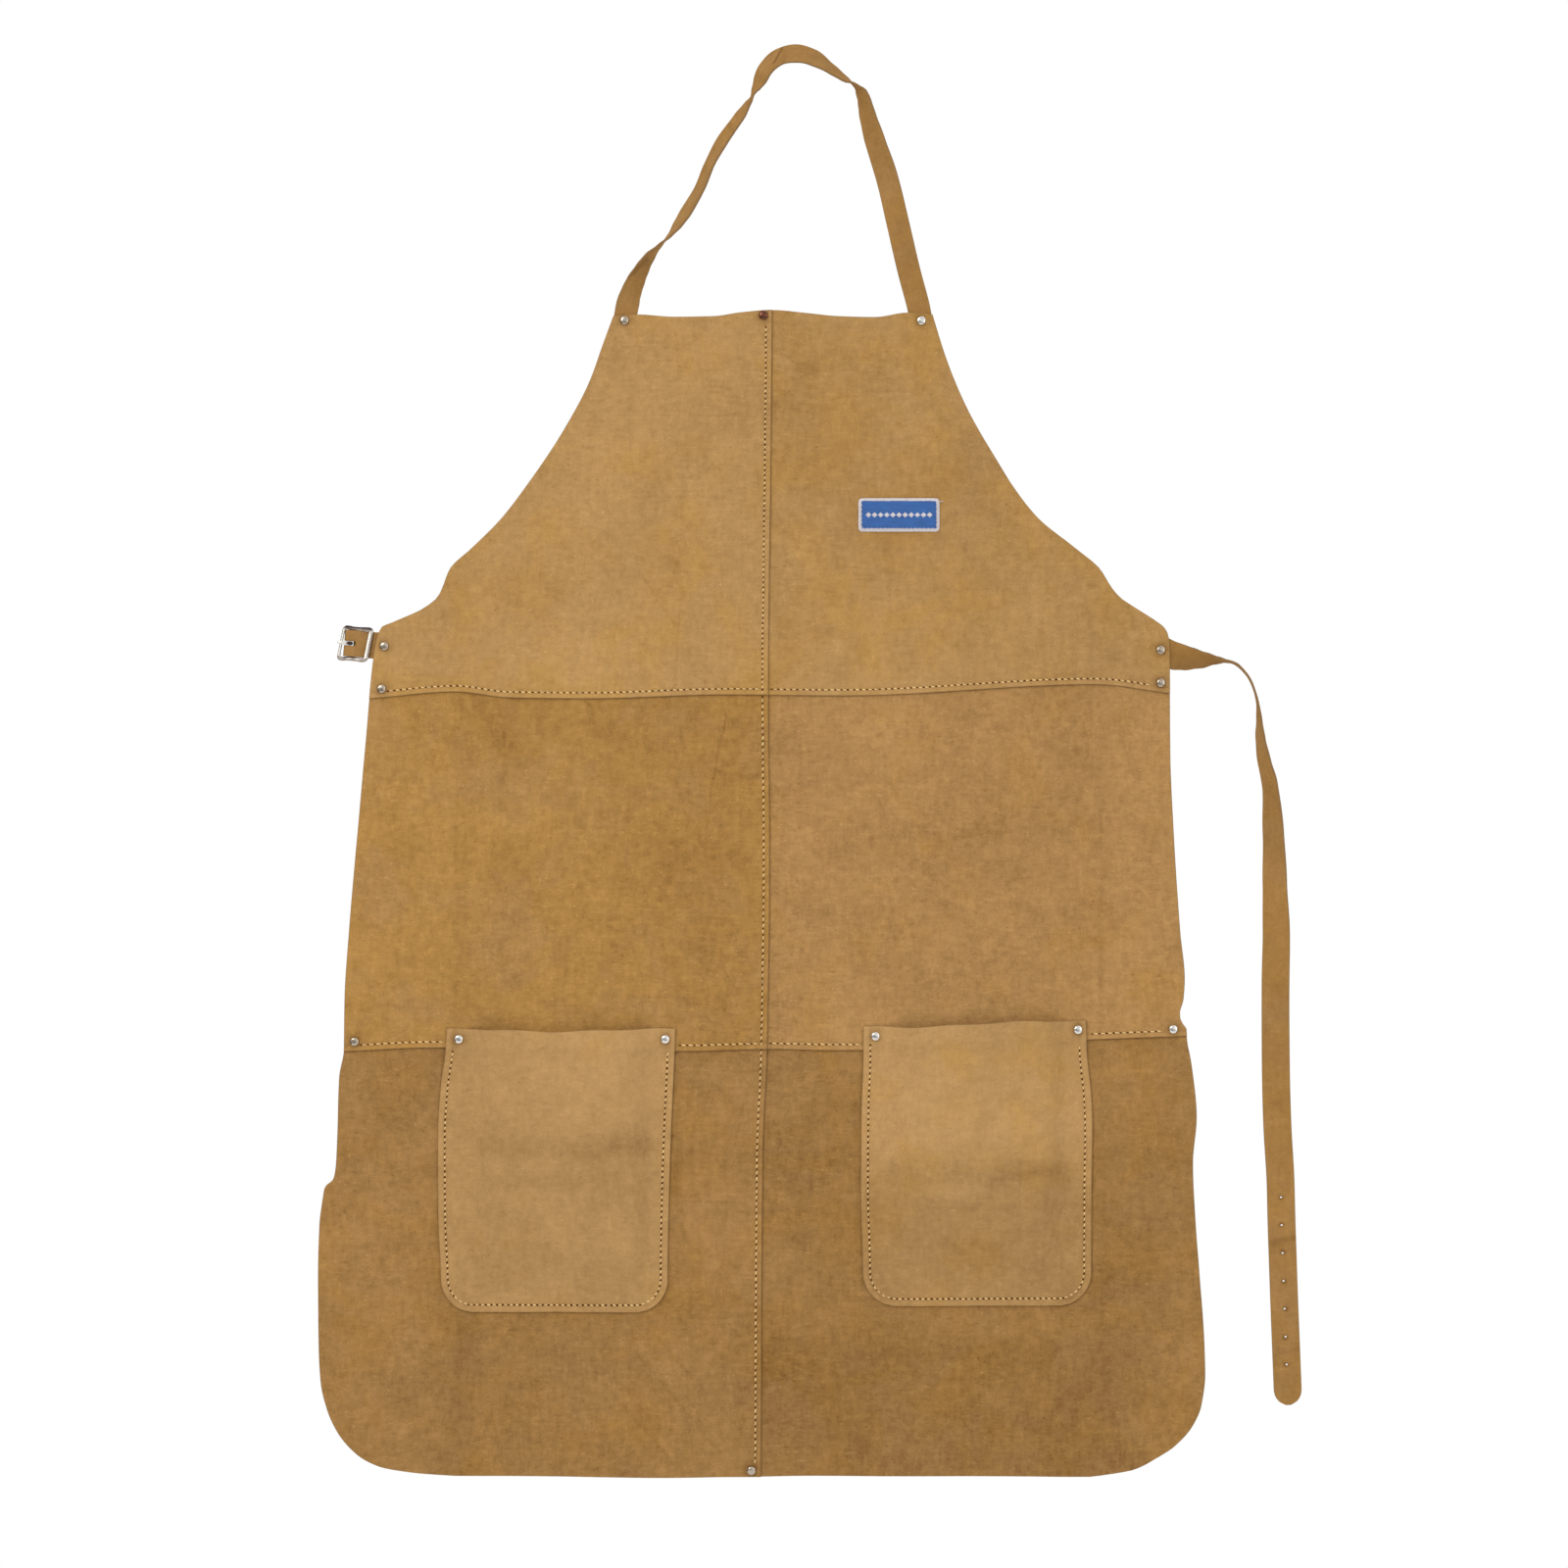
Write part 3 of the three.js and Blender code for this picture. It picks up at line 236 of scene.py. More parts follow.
def spots_and_fold_shade(x, z):
    """Light and dark marks on the suede, with painted shade along the pressed folds and a painted highlight
    beside one: 0 is plain, 0.1 a clearly lighter spot.
    """
    out = 0.018 * ripples(x, z, 21, 260) + 0.012 * ripples(x, z, 22, 90) + 0.008 * ripples(x, z, 23, 30)
    # the long lines follow the pressed folds as painted fold shade, the lighter one beside the left fold a
    # painted highlight; the short ones are light and dark spots on the suede
    patches_and_fold_shade = [
        ((58, -560), (72, -562), 6, -0.05), ((-93, -390), (-86, -394), 6, -0.04),
        ((210, -900), (222, -905), 5, -0.04),
        ((-236, -505), (-214, -560), 16, -0.035), ((-258, -520), (-250, -1080), 9, -0.03),
        ((-240, -520), (-238, -1080), 8, 0.018), ((246, -520), (248, -1060), 8, -0.022),
        ((40, -612), (300, -604), 12, -0.03), ((-340, -616), (-60, -612), 12, -0.015),
        ((-350, -864), (320, -858), 14, -0.025), ((-120, -240), (-112, -262), 6, 0.03),
        ((-40, -300), (-60, -330), 12, 0.025), ((160, -420), (190, -430), 12, 0.03),
        ((20, -430), (60, -440), 14, 0.025), ((-50, -470), (-40, -490), 18, 0.02),
    ]  # fmt: skip
    wander = 6 * ripples(x, z, 24, 60)
    for start, end, width, strength in patches_and_fold_shade:
        out = out + strength * stroke(x + wander, z, start, end, width)
    return out


# ---------------------------------------------------------------- mesh building


def make_object(name, points, faces, finishes, slots=None, fields=None):
    """A smooth-shaded object from points in mm; slots gives each face's place in finishes."""
    mesh = bpy.data.meshes.new(name)
    mesh.from_pydata((np.asarray(points) * MM).tolist(), [], [tuple(int(i) for i in face) for face in faces])
    mesh.polygons.foreach_set("use_smooth", np.ones(len(mesh.polygons), bool))
    for finish in finishes:
        mesh.materials.append(finish)
    if slots is not None:
        mesh.polygons.foreach_set("material_index", np.asarray(slots, np.int32))
    for field, values in (fields or {}).items():
        mesh.attributes.new(field, "FLOAT", "POINT").data.foreach_set("value", np.asarray(values, np.float32))
    mesh.update()
    obj = bpy.data.objects.new(name, mesh)
    bpy.context.scene.collection.objects.link(obj)
    return obj


def settle(obj, body, slot, *nodes):
    """The piece rides on its body and stands for its CAD nodes."""
    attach(obj, body)
    if nodes:
        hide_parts(*nodes)
    return obj


def punch(x, z, cells, centre, radius):
    """Cuts a round hole where the grid has four lines each way round its centre."""
    near = np.hypot(x - centre[0], z - centre[1])
    row, column = np.unravel_index(near.argmin(), near.shape)
    row -= int(z[row, column] > centre[1])
    column -= int(x[row, column] > centre[0])
    for i in range(row - 1, row + 3):
        for j in range(column - 1, column + 3):
            dx, dz = x[i, j] - centre[0], z[i, j] - centre[1]
            reach = radius / math.hypot(dx, dz)
            if i in (row - 1, row + 2) or j in (column - 1, column + 2):
                x[i, j], z[i, j] = centre[0] + dx * reach, centre[1] + dz * reach
    cells[row - 1:row + 2, column - 1:column + 2] = False


def sheet_parts(x, z, front, thickness, cells=None, round_off=0.38):
    """Both faces and the rounded cut edge of a sheet laid out on a grid.

    x and z place the grid's points on the sheet and front is each point's depth. Returns the points as
    (x, depth, z), the faces, their slots (0 face, 1 cut edge) and each point's place in the grid."""
    rows, columns = x.shape
    if cells is None:
        cells = np.ones((rows - 1, columns - 1), bool)
    padded = np.zeros((rows + 1, columns + 1), bool)
    padded[1:-1, 1:-1] = cells
    corners = [padded[a:a + rows, b:b + columns] for a in (0, 1) for b in (0, 1)]
    count = sum(corner.astype(int) for corner in corners)
    used = count > 0
    rim = used & (count < 4)

    cx = (x[:-1, :-1] + x[1:, :-1] + x[:-1, 1:] + x[1:, 1:]) / 4
    cz = (z[:-1, :-1] + z[1:, :-1] + z[:-1, 1:] + z[1:, 1:]) / 4
    centres = np.zeros((2, rows + 1, columns + 1))
    centres[0, 1:-1, 1:-1] = np.where(cells, cx, 0)
    centres[1, 1:-1, 1:-1] = np.where(cells, cz, 0)
    total = sum(centres[:, a:a + rows, b:b + columns] for a in (0, 1) for b in (0, 1))
    inward = total / np.maximum(count, 1) - np.stack([x, z])
    inward = inward / np.maximum(np.hypot(*inward), 1e-6) * np.where(rim, round_off, 0)

    index = -np.ones((rows, columns), int)
    index[used] = np.arange(used.sum())
    edge_index = -np.ones((rows, columns), int)
    edge_index[rim] = np.arange(rim.sum())
    n, m = int(used.sum()), int(rim.sum())
    inner = np.stack([x + inward[0], z + inward[1]])
    chamfer = thickness * 0.3

    def layer(xs, zs, ys, mask):
        return np.stack([xs[mask], ys[mask], zs[mask]], axis=1)

    points = np.concatenate([
        layer(inner[0], inner[1], front, used),
        layer(inner[0], inner[1], front + thickness, used),
        layer(x, z, front + chamfer, rim),
        layer(x, z, front + thickness - chamfer, rim),
    ])  # fmt: skip
    grid = np.argwhere(used)
    rim_grid = np.argwhere(rim)
    places = np.concatenate([grid, grid, rim_grid, rim_grid])

    faces, slots = [], []
    a, b = index[:-1, :-1][cells], index[:-1, 1:][cells]
    c, d = index[1:, 1:][cells], index[1:, :-1][cells]
    faces.append(np.stack([a, b, c, d], 1))
    faces.append(np.stack([d, c, b, a], 1) + n)
    slots += [0] * (2 * len(a))
    sides = [
        (~padded[:-2, 1:-1], (slice(None, -1), slice(None, -1)), (slice(None, -1), slice(1, None))),
        (~padded[1:-1, 2:], (slice(None, -1), slice(1, None)), (slice(1, None), slice(1, None))),
        (~padded[2:, 1:-1], (slice(1, None), slice(1, None)), (slice(1, None), slice(None, -1))),
        (~padded[1:-1, :-2], (slice(1, None), slice(None, -1)), (slice(None, -1), slice(None, -1))),
    ]
    for open_side, start, end in sides:
        open_side = open_side & cells
        p, q = index[start][open_side], index[end][open_side]
        ep, eq = edge_index[start][open_side], edge_index[end][open_side]
        faces.append(np.stack([q, p, ep + 2 * n, eq + 2 * n], 1))
        faces.append(np.stack([eq, ep, ep + m, eq + m], 1) + 2 * n)
        faces.append(np.stack([eq + 2 * n + m, ep + 2 * n + m, p + n, q + n], 1))
        slots += [1] * (3 * len(p))
    return points, np.concatenate(faces), slots, places


def graded(start, end, coarse, fine_at=(), fine=(0, 0.9, 2.0, 3.2, 4.6, 6.0, 8.0, 11.0)):
    """Grid lines from start to end, close together beside each place in fine_at."""
    lines = set(np.round(np.linspace(start, end, max(2, int(abs(end - start) / coarse) + 1)), 3))
    keep = {start, end}
    for place in fine_at:
        near = [place + sign * step for step in fine for sign in (-1, 1)]
        near = [line for line in near if min(start, end) <= line <= max(start, end)]
        lines = {line for line in lines if abs(line - place) > fine[-1] + coarse * 0.4}
        keep |= set(near)
    lines = sorted(lines | keep)
    kept = [lines[0]]
    for line in lines[1:]:
        if line - kept[-1] > 0.25:
            kept.append(line)
    kept[-1] = lines[-1]
    return np.array(kept)


# ---------------------------------------------------------------- materials


class Value:
    """A node's output that takes part in sums, differences and products, as a number or a vector."""

    def __init__(self, recipe, socket):
        self.recipe = recipe
        self.socket = socket

    def __add__(self, other):
        if self.socket.type == "VECTOR":
            other = other if isinstance(other, Value) else (other, other, other)
            return self.recipe.node("ShaderNodeVectorMath", {"operation": "ADD"}, {0: self, 1: other})
        return self.recipe.math("ADD", self, other)

    __radd__ = __add__

    def __sub__(self, other):
        return self.recipe.math("SUBTRACT", self, other)

    def __rsub__(self, other):
        return self.recipe.math("SUBTRACT", other, self)

    def __mul__(self, other):
        return self.recipe.math("MULTIPLY", self, other)

    __rmul__ = __mul__


class Recipe:
    """One material and the nodes that make it."""

    def __init__(self, name, **shader):
        self.material = bpy.data.materials.new(name)
        self.material.use_nodes = True
        self.nodes = self.material.node_tree.nodes
        self.links = self.material.node_tree.links
        self.shader = self.nodes["Principled BSDF"]
        self.fill(self.shader, {key.replace("_", " ").title(): value for key, value in shader.items()})

    def fill(self, node, inputs):
        for key, value in inputs.items():
            socket = node.inputs[key]
            if isinstance(value, Value):
                self.links.new(value.socket, socket)
            elif isinstance(value, (tuple, list)) and len(value) == 3 and socket.type == "RGBA":
                socket.default_value = (*value, 1.0)
            else:
                socket.default_value = value

    def node(self, kind, settings=None, inputs=None, output=0):
        """A node with its settings made first, then its inputs; returns one of its outputs."""
        node = self.nodes.new(kind)
        for key, value in (settings or {}).items():
            if key == "stops":
                while len(node.color_ramp.elements) < len(value):
                    node.color_ramp.elements.new(0.5)
                for element, (place, colour) in zip(node.color_ramp.elements, value):
                    element.position = place
                    element.color = (*colour, 1.0)
            else:
                setattr(node, key, value)
        self.fill(node, inputs or {})
        return Value(self, node.outputs[output])

    def math(self, operation, a, b):
        return self.node("ShaderNodeMath", {"operation": operation}, {0: a, 1: b})

    def clamp(self, value, least=0.0, most=1.0):
        return self.node("ShaderNodeClamp", inputs={"Value": value, "Min": least, "Max": most})

    def place(self):
        return self.node("ShaderNodeTexCoord", output="Object")

    def stretch(self, place, scale):
        return self.node("ShaderNodeMapping", inputs={"Vector": place, "Scale": scale})

    def noise(self, place, scale, detail=2.0, roughness=0.55, distortion=0.0):
        """Noise round 0, about half a unit each way."""
        inputs = {"Vector": place, "Scale": scale, "Detail": detail}
        inputs |= {"Roughness": roughness, "Distortion": distortion}
        return self.node("ShaderNodeTexNoise", inputs=inputs) - 0.5

    def vector(self, x, z):
        """A vector in the plane of the hung leather."""
        return self.node("ShaderNodeCombineXYZ", inputs={"X": x, "Z": z})

    def mark(self, place, start, end, width):
        """1 along a thin line from start to end, falling to 0 over its half width; all in mm."""
        start, end = (np.array((point[0], point[1])) * MM for point in (start, end))
        length = float(np.linalg.norm(end - start))
        along = (end - start) / length
        x = self.node("ShaderNodeSeparateXYZ", inputs={"Vector": place}, output="X") - float(start[0])
        z = self.node("ShaderNodeSeparateXYZ", inputs={"Vector": place}, output="Z") - float(start[1])
        run = x * float(along[0]) + z * float(along[1])
        past = self.math("MAXIMUM", self.math("MAXIMUM", run * -1.0, run - length), 0.0)
        aside = x * float(-along[1]) + z * float(along[0])
        away = (aside * aside + past * past) * (1.0 / (width * MM) ** 2)
        return self.math("EXPONENT", away * -1.0, 0.0)

    def waves(self, place, direction, scale, distortion):
        settings = {"wave_type": "BANDS", "bands_direction": direction}
        inputs = {"Vector": place, "Scale": scale, "Distortion": distortion}
        return self.node("ShaderNodeTexWave", settings, inputs, output="Fac")

    def field(self, name):
        return self.node("ShaderNodeAttribute", {"attribute_name": name}, output="Fac")

    def ramp(self, value, *stops):
        return self.node("ShaderNodeValToRGB", {"stops": stops}, {"Fac": value})

    def mix(self, share, a, b, blend="MIX"):
        settings = {"data_type": "RGBA", "blend_type": blend}
        return self.node("ShaderNodeMix", settings, {0: share, 6: a, 7: b}, output=2)

    def bump(self, height, distance, strength=1.0):
        inputs = {"Height": height, "Distance": distance, "Strength": strength}
        return self.node("ShaderNodeBump", inputs=inputs)

    def finish(self, **inputs):
        self.fill(self.shader, {key.replace("_", " ").title(): value for key, value in inputs.items()})
        return self.material


def srgb(*colour):
    """Linear colour of an ordinary 0 to 255 screen colour."""
    return tuple(round(((c / 255 + 0.055) / 1.055) ** 2.4 if c > 10 else c / 255 / 12.92, 4) for c in colour)


def times(colour, factor):
    return tuple(min(1.0, c * factor) for c in colour)


def suede(name, colour, nap=1.0, marks=(), covered=False, sewn=False):
    """Brushed split leather: cloudy tan with a fibrous nap, rubbed lighter in patches.

    marks are thin lines on the leather as (start, end, half width, strength), in mm, dark when below 0.
    Lap-shadowed leather has a lap field, its distance from the edge of whatever lies on it, and gets a
    painted shadow line there.
    Sewn leather has an edge field, its distance from its own sewn edge, with painted shade along the stitch
    line and a painted highlight on the lip by the edge."""
    recipe = Recipe(name, roughness=0.95, sheen_weight=0.12, sheen_roughness=0.55)
    recipe.fill(recipe.shader, {"Sheen Tint": (*times(colour, 1.6), 1.0), "Specular IOR Level": 0.15})
    place = recipe.place()
    cloud = recipe.noise(place, 9, 3)
    patches = recipe.noise(place, 34, 3, 0.6, 0.4)
    mottle = recipe.noise(place, 110, 4, 0.7, 0.3)
    across = recipe.noise(recipe.stretch(place, (0.45, 1.0, 1.0)), 260, 3, 0.7)
    upward = recipe.noise(recipe.stretch(place, (1.0, 1.0, 0.35)), 240, 3, 0.7)
    fleck = recipe.noise(recipe.stretch(place, (0.5, 1.0, 1.0)), 520, 2, 0.6)
    fuzz = recipe.noise(place, 900, 3, 0.7)
    shade = (
        0.5
        + recipe.field("tone") * 2.2
        + cloud * 0.44
        + patches * (0.30 * nap)
        + mottle * (0.42 * nap)
        + across * (0.56 * nap)
        + upward * (0.50 * nap)
        + recipe.clamp(fleck - 0.12, 0.0, 0.2) * (2.2 * nap)
        - recipe.clamp(-0.13 - fleck, 0.0, 0.2) * (1.9 * nap)
        + fuzz * (0.32 * nap)
    )
    if covered:
        # painted shadow line on the leather beside the edge of whatever laps over it
        near = recipe.field("lap") * (1 / 1.3) + mottle * 1.2
        shade = shade - recipe.math("EXPONENT", near * near * -1.0, 0.0) * 0.15
    if sewn:
        # painted shade along the stitch line and a painted highlight on the lip between the stitches and the
        # sewn edge
        inset = recipe.field("edge")
        stitch_shade_distance, lip_highlight_distance = (inset - STITCH_INSET) * 0.8, (inset - 1.5) * 0.7
        shade = shade - recipe.math("EXPONENT", stitch_shade_distance * stitch_shade_distance * -1.0, 0.0) * 0.10
        shade = shade + recipe.math("EXPONENT", lip_highlight_distance * lip_highlight_distance * -1.0, 0.0) * 0.06
    if marks:
        stray_x, stray_z = recipe.noise(place, 45, 2) * 0.004, recipe.noise(place + 3.0, 45, 2) * 0.004
        wander = place + recipe.vector(stray_x, stray_z)
        for start, end, width, strength in marks:
            shade = shade + recipe.mark(wander, start, end, width) * (strength + patches * (0.6 * strength))
    # ramp ends: the dark tint serves darker suede and the painted shade, the light tint rubbed suede and the
    # painted highlights
    dark_suede_and_shade_tint, rubbed_suede_and_highlight_tint = (0.64, 0.585, 0.52), (1.36, 1.38, 1.46)
    plain, warm = (
        recipe.ramp(shade, (0.0, tuple(tan * dark_suede_and_shade_tint)), (0.5, tuple(tan)), (1.0, tuple(tan * rubbed_suede_and_highlight_tint)))
        for tan in (np.array(colour), np.array(colour) * (1.0, 0.97, 0.80))
    )
    share = recipe.clamp(recipe.noise(place, 17, 3, 0.65, 0.5) * 5.0 + 0.4 + recipe.field("warm"))
    crease = recipe.noise(recipe.stretch(place, (1.0, 1.0, 0.6)), 95, 4, 0.6, 0.6)
    height = mottle * 0.5 + (across + upward + fuzz) * 0.35 + crease * 0.5
    return recipe.finish(
        base_color=recipe.mix(share, plain, warm),
        normal=recipe.bump(height, 0.0011 * nap, 0.9),
    )


def cut_leather(name, colour):
    """Raw cut edge: darker fibres that show the leather's layers."""
    recipe = Recipe(name, roughness=0.9)
    place = recipe.place()
    fibres = recipe.noise(place, 1400, 3, 0.7)
    dark = times(colour, 0.68)
    return recipe.finish(
        base_color=recipe.ramp(fibres + 0.5, (0.2, dark), (0.9, times(colour, 0.94))),
        normal=recipe.bump(fibres, 0.0004),
    )


def nickel(name, colour, wear=1.0):
    """Polished nickel plate with faint scuffs."""
    recipe = Recipe(name, metallic=1.0)
    place = recipe.place()
    scuff = recipe.noise(place, 700, 3, 0.7)
    haze = recipe.noise(place, 160, 2)
    return recipe.finish(
        base_color=recipe.ramp(haze + 0.5, (0.2, times(colour, 0.86)), (0.8, colour)),
        roughness=recipe.clamp(0.17 + scuff * (0.16 * wear) + haze * 0.10, 0.06, 0.5),
        normal=recipe.bump(scuff, 0.00004 * wear),
    )


def painted_light_cast(name, colour):
    """Cast plate whose light and shade are painted in: tone runs from painted shade, through dull, to a
    painted highlight.
    """
    recipe = Recipe(name, metallic=0.85)
    place = recipe.place()
    scuff = recipe.noise(place, 600, 3, 0.7)
    dull = np.array(colour) * (0.62, 0.54, 0.50)
    bright = tuple(np.minimum(np.array(colour) * (1.3, 1.28, 1.2), 1))
    light = recipe.clamp(recipe.field("tone") + scuff * 0.35)
    return recipe.finish(
        base_color=recipe.ramp(light, (0.0, srgb(62, 50, 46)), (0.5, tuple(dull)), (1.0, bright)),
        roughness=recipe.clamp(0.34 + scuff * 0.2, 0.15, 0.6),
        normal=recipe.bump(scuff, 0.00005),
    )


def spun_thread(name, colour, shade=1.0):
    """Twisted sewing thread; tone sets how bleached each stitch is."""
    recipe = Recipe(name, roughness=0.75, sheen_weight=0.2)
    place = recipe.place()
    twist = recipe.waves(place, "DIAGONAL", 900.0, 1.5)
    fuzz = recipe.noise(place, 1500, 2)
    light = recipe.clamp(0.5 + recipe.field("tone") + fuzz * 0.3 + twist * 0.25 - 0.12)
    tints = (0.0, times(colour, 0.5 * shade)), (0.6, colour), (1.0, times(colour, 1.25))
    return recipe.finish(
        base_color=recipe.ramp(light, *tints),
        normal=recipe.bump(twist + fuzz * 0.5, 0.0001),
    )


def needle_hole(name, colour):
    """Painted shade in the dimple where the needle pulled the leather in."""
    recipe = Recipe(name, roughness=1.0)
    recipe.fill(recipe.shader, {"Specular IOR Level": 0.0})
    depth = recipe.noise(recipe.place(), 1200, 2)
    tints = (0.1, times(colour, 0.16)), (0.9, times(colour, 0.36))
    return recipe.finish(base_color=recipe.ramp(depth + 0.5, *tints))


def woven(name, colour):
    """Damask weave: fine ribs across, finer warp up and down."""
    recipe = Recipe(name, roughness=0.7, sheen_weight=0.3)
    place = recipe.place()
    rib = recipe.waves(place, "Z", 620.0, 0.4)
    warp = recipe.waves(place, "X", 760.0, 0.4)
    slub = recipe.noise(recipe.stretch(place, (0.25, 1.0, 1.0)), 420, 3)
    shade = recipe.clamp(0.42 + rib * 0.18 + warp * 0.08 + slub * 0.75)
    return recipe.finish(
        base_color=recipe.ramp(shade, (0.0, times(colour, 0.55)), (0.5, colour), (1.0, times(colour, 1.5))),
        normal=recipe.bump(rib * 0.6 + warp * 0.4, 0.00025),
    )


FINISHES = {}


def finish(kind, name, colour, **options):
    """Each finish is made once and shared."""
    if name not in FINISHES:
        FINISHES[name] = kind(name, tuple(colour), **options)
    return FINISHES[name]


# ---------------------------------------------------------------- settings


def colour_property(name, description, default):
    return bpy.props.FloatVectorProperty(
        name=name, description=description, default=default, subtype="COLOR", min=0.0, max=1.0
    )


class ApronSettings(bpy.types.PropertyGroup):
    bib_colour: colour_property("Bib", "Suede of the two upper panels", srgb(186, 145, 91))
    skirt_colour: colour_property("Skirt", "Suede of the two middle panels", srgb(177, 135, 80))
    hem_colour: colour_property("Hem", "Suede of the two lower panels", srgb(163, 123, 73))
    pocket_colour: colour_property("Pockets", "Suede of the patch pockets", srgb(185, 145, 93))
    strap_colour: colour_property("Straps", "Leather of the straps and the buckle tab", srgb(168, 127, 76))
    thread_colour: colour_property("Thread", "Sewing thread", srgb(253, 214, 146))
    # colour of the painted shade in the needle holes
    hole_colour: colour_property("Needle holes", "Leather pulled in by the needle", srgb(176, 100, 42))
    label_colour: colour_property("Label", "Ground of the woven label", srgb(52, 108, 184))
    label_thread_colour: colour_property("Label thread", "Border and mark of the label", srgb(246, 238, 242))
    plate_colour: colour_property("Plating", "Rivets and buckle", srgb(226, 224, 220))
    waviness: bpy.props.FloatProperty(
        name="Waviness", description="How much the hung leather waves", default=1.0, min=0.0, max=1.5,
        subtype="FACTOR",
    )
    stitch_length: bpy.props.FloatProperty(
        name="Stitch pitch", description="From one needle hole to the next", default=PITCH * MM, unit="LENGTH"
    )
    thread_size: bpy.props.FloatProperty(
        name="Thread size", description="Diameter of the sewing thread", default=0.00125, unit="LENGTH"
    )


class StageSettings(bpy.types.PropertyGroup):
    lens: bpy.props.FloatProperty(
        name="Lens", description="Focal length in millimetres", default=85.0, min=20.0
    )
    distance: bpy.props.FloatProperty(
        name="Distance", description="From the camera to the bib", default=2.905, unit="LENGTH"
    )
    key_power: bpy.props.FloatProperty(
        name="Key light", description="Power of the large soft light", default=26.0, unit="POWER"
    )
    fill_power: bpy.props.FloatProperty(
        name="Fill light", description="Power of the soft light on the other side", default=8.0, unit="POWER"
    )
    floor_colour: colour_property("Floor", "Pale studio floor", (0.86, 0.86, 0.85))


# ---------------------------------------------------------------- leather pieces


def surface(x, z):
    return relief(x, z) * bpy.context.scene.apron.waviness


def leather_object(name, parts, finishes, place=None, tone=None, warm=0.0, **distances):
    points, faces, slots, _ = parts
    flat_x, flat_z = points[:, 0].copy(), points[:, 2].copy()
    if place is not None:
        points = place(points)
    fields = {
        "tone": spots_and_fold_shade(flat_x, flat_z) if tone is None else tone(flat_x, flat_z),
        "warm": warm(flat_x, flat_z) if callable(warm) else np.full(len(points), warm),
    }
    for field, distance in distances.items():
        fields[field] = distance(flat_x, flat_z)
    return make_object(name, points, faces, finishes, slots, fields)


def rounded_box(x, z, centre, half, radius):
    """Distance outside a box with round corners, below 0 inside it."""
    beyond_x = np.abs(x - centre[0]) - (half[0] - radius)
    beyond_z = np.abs(z - centre[1]) - (half[1] - radius)
    outside = np.hypot(np.maximum(beyond_x, 0), np.maximum(beyond_z, 0))
    return outside + np.minimum(np.maximum(beyond_x, beyond_z), 0) - radius


def lap_distance(row, side):
    """How far a point of a panel is from the nearest edge of whatever lies on the panel."""

    def at(x, z):
        away = np.full(np.shape(x), FIELD_REACH)
        if row == "middle":
            away = np.minimum(away, SEAM1_Z + upper_seam(x) - z)
        if row == "lower":
            away = np.minimum(away, SEAM2_Z + lower_seam(x) - z)
            centre, width = POCKETS[side]
            height = np.clip(z - (seam2_level(centre) + POCKET_RISE - POCKET_DEPTH), 0, POCKET_DEPTH)
            left, right = (centre + sign * width / 2 + POCKET_STRAY[side, sign](height) for sign in (-1, 1))
            middle_z = seam2_level(centre) + POCKET_RISE - POCKET_DEPTH / 2
            half = ((right - left) / 2, POCKET_DEPTH / 2)
            pocket_gap = rounded_box(x, z, ((left + right) / 2, middle_z), half, POCKET_CORNER)
            away = np.where(z < SEAM2_Z + lower_seam(x), np.minimum(away, np.abs(pocket_gap)), away)
        if side == "right":
            away = np.minimum(away, x - centre_seam(z) + 1.5)
        if row == "upper" and side == "right":
            centre, size = middle("label_border"), high("label_border") - low("label_border")
            label_gap = rounded_box(x, z, (centre[0], centre[2]), (size[0] / 2, size[2] / 2), LABEL_CORNER)
            away = np.minimum(away, np.abs(label_gap))
        return np.clip(away, -FIELD_REACH, FIELD_REACH)

    return at


def edge_distance(row, side):
    """How far a point of a panel is from the panel's own sewn edges."""

    def at(x, z):
        away = np.full(np.shape(x), FIELD_REACH)
        if side == "left":
            away = centre_seam(z) - x
        if row == "upper":
            away = np.minimum(away, z - SEAM1_Z - upper_seam(x))
        if row == "middle":
            away = np.minimum(away, z - SEAM2_Z - lower_seam(x))
        return np.clip(away, -FIELD_REACH, FIELD_REACH)

    return at


def rivet_shade_marks(places):
    """Painted shade in the leather round each rivet's head."""
    spots = [(RIVET_SPOTS[place][0], RIVET_SPOTS[place][2]) for place in places]
    return [((x - 0.2, z), (x + 0.2, z), 5.4, -0.55) for x, z in spots]


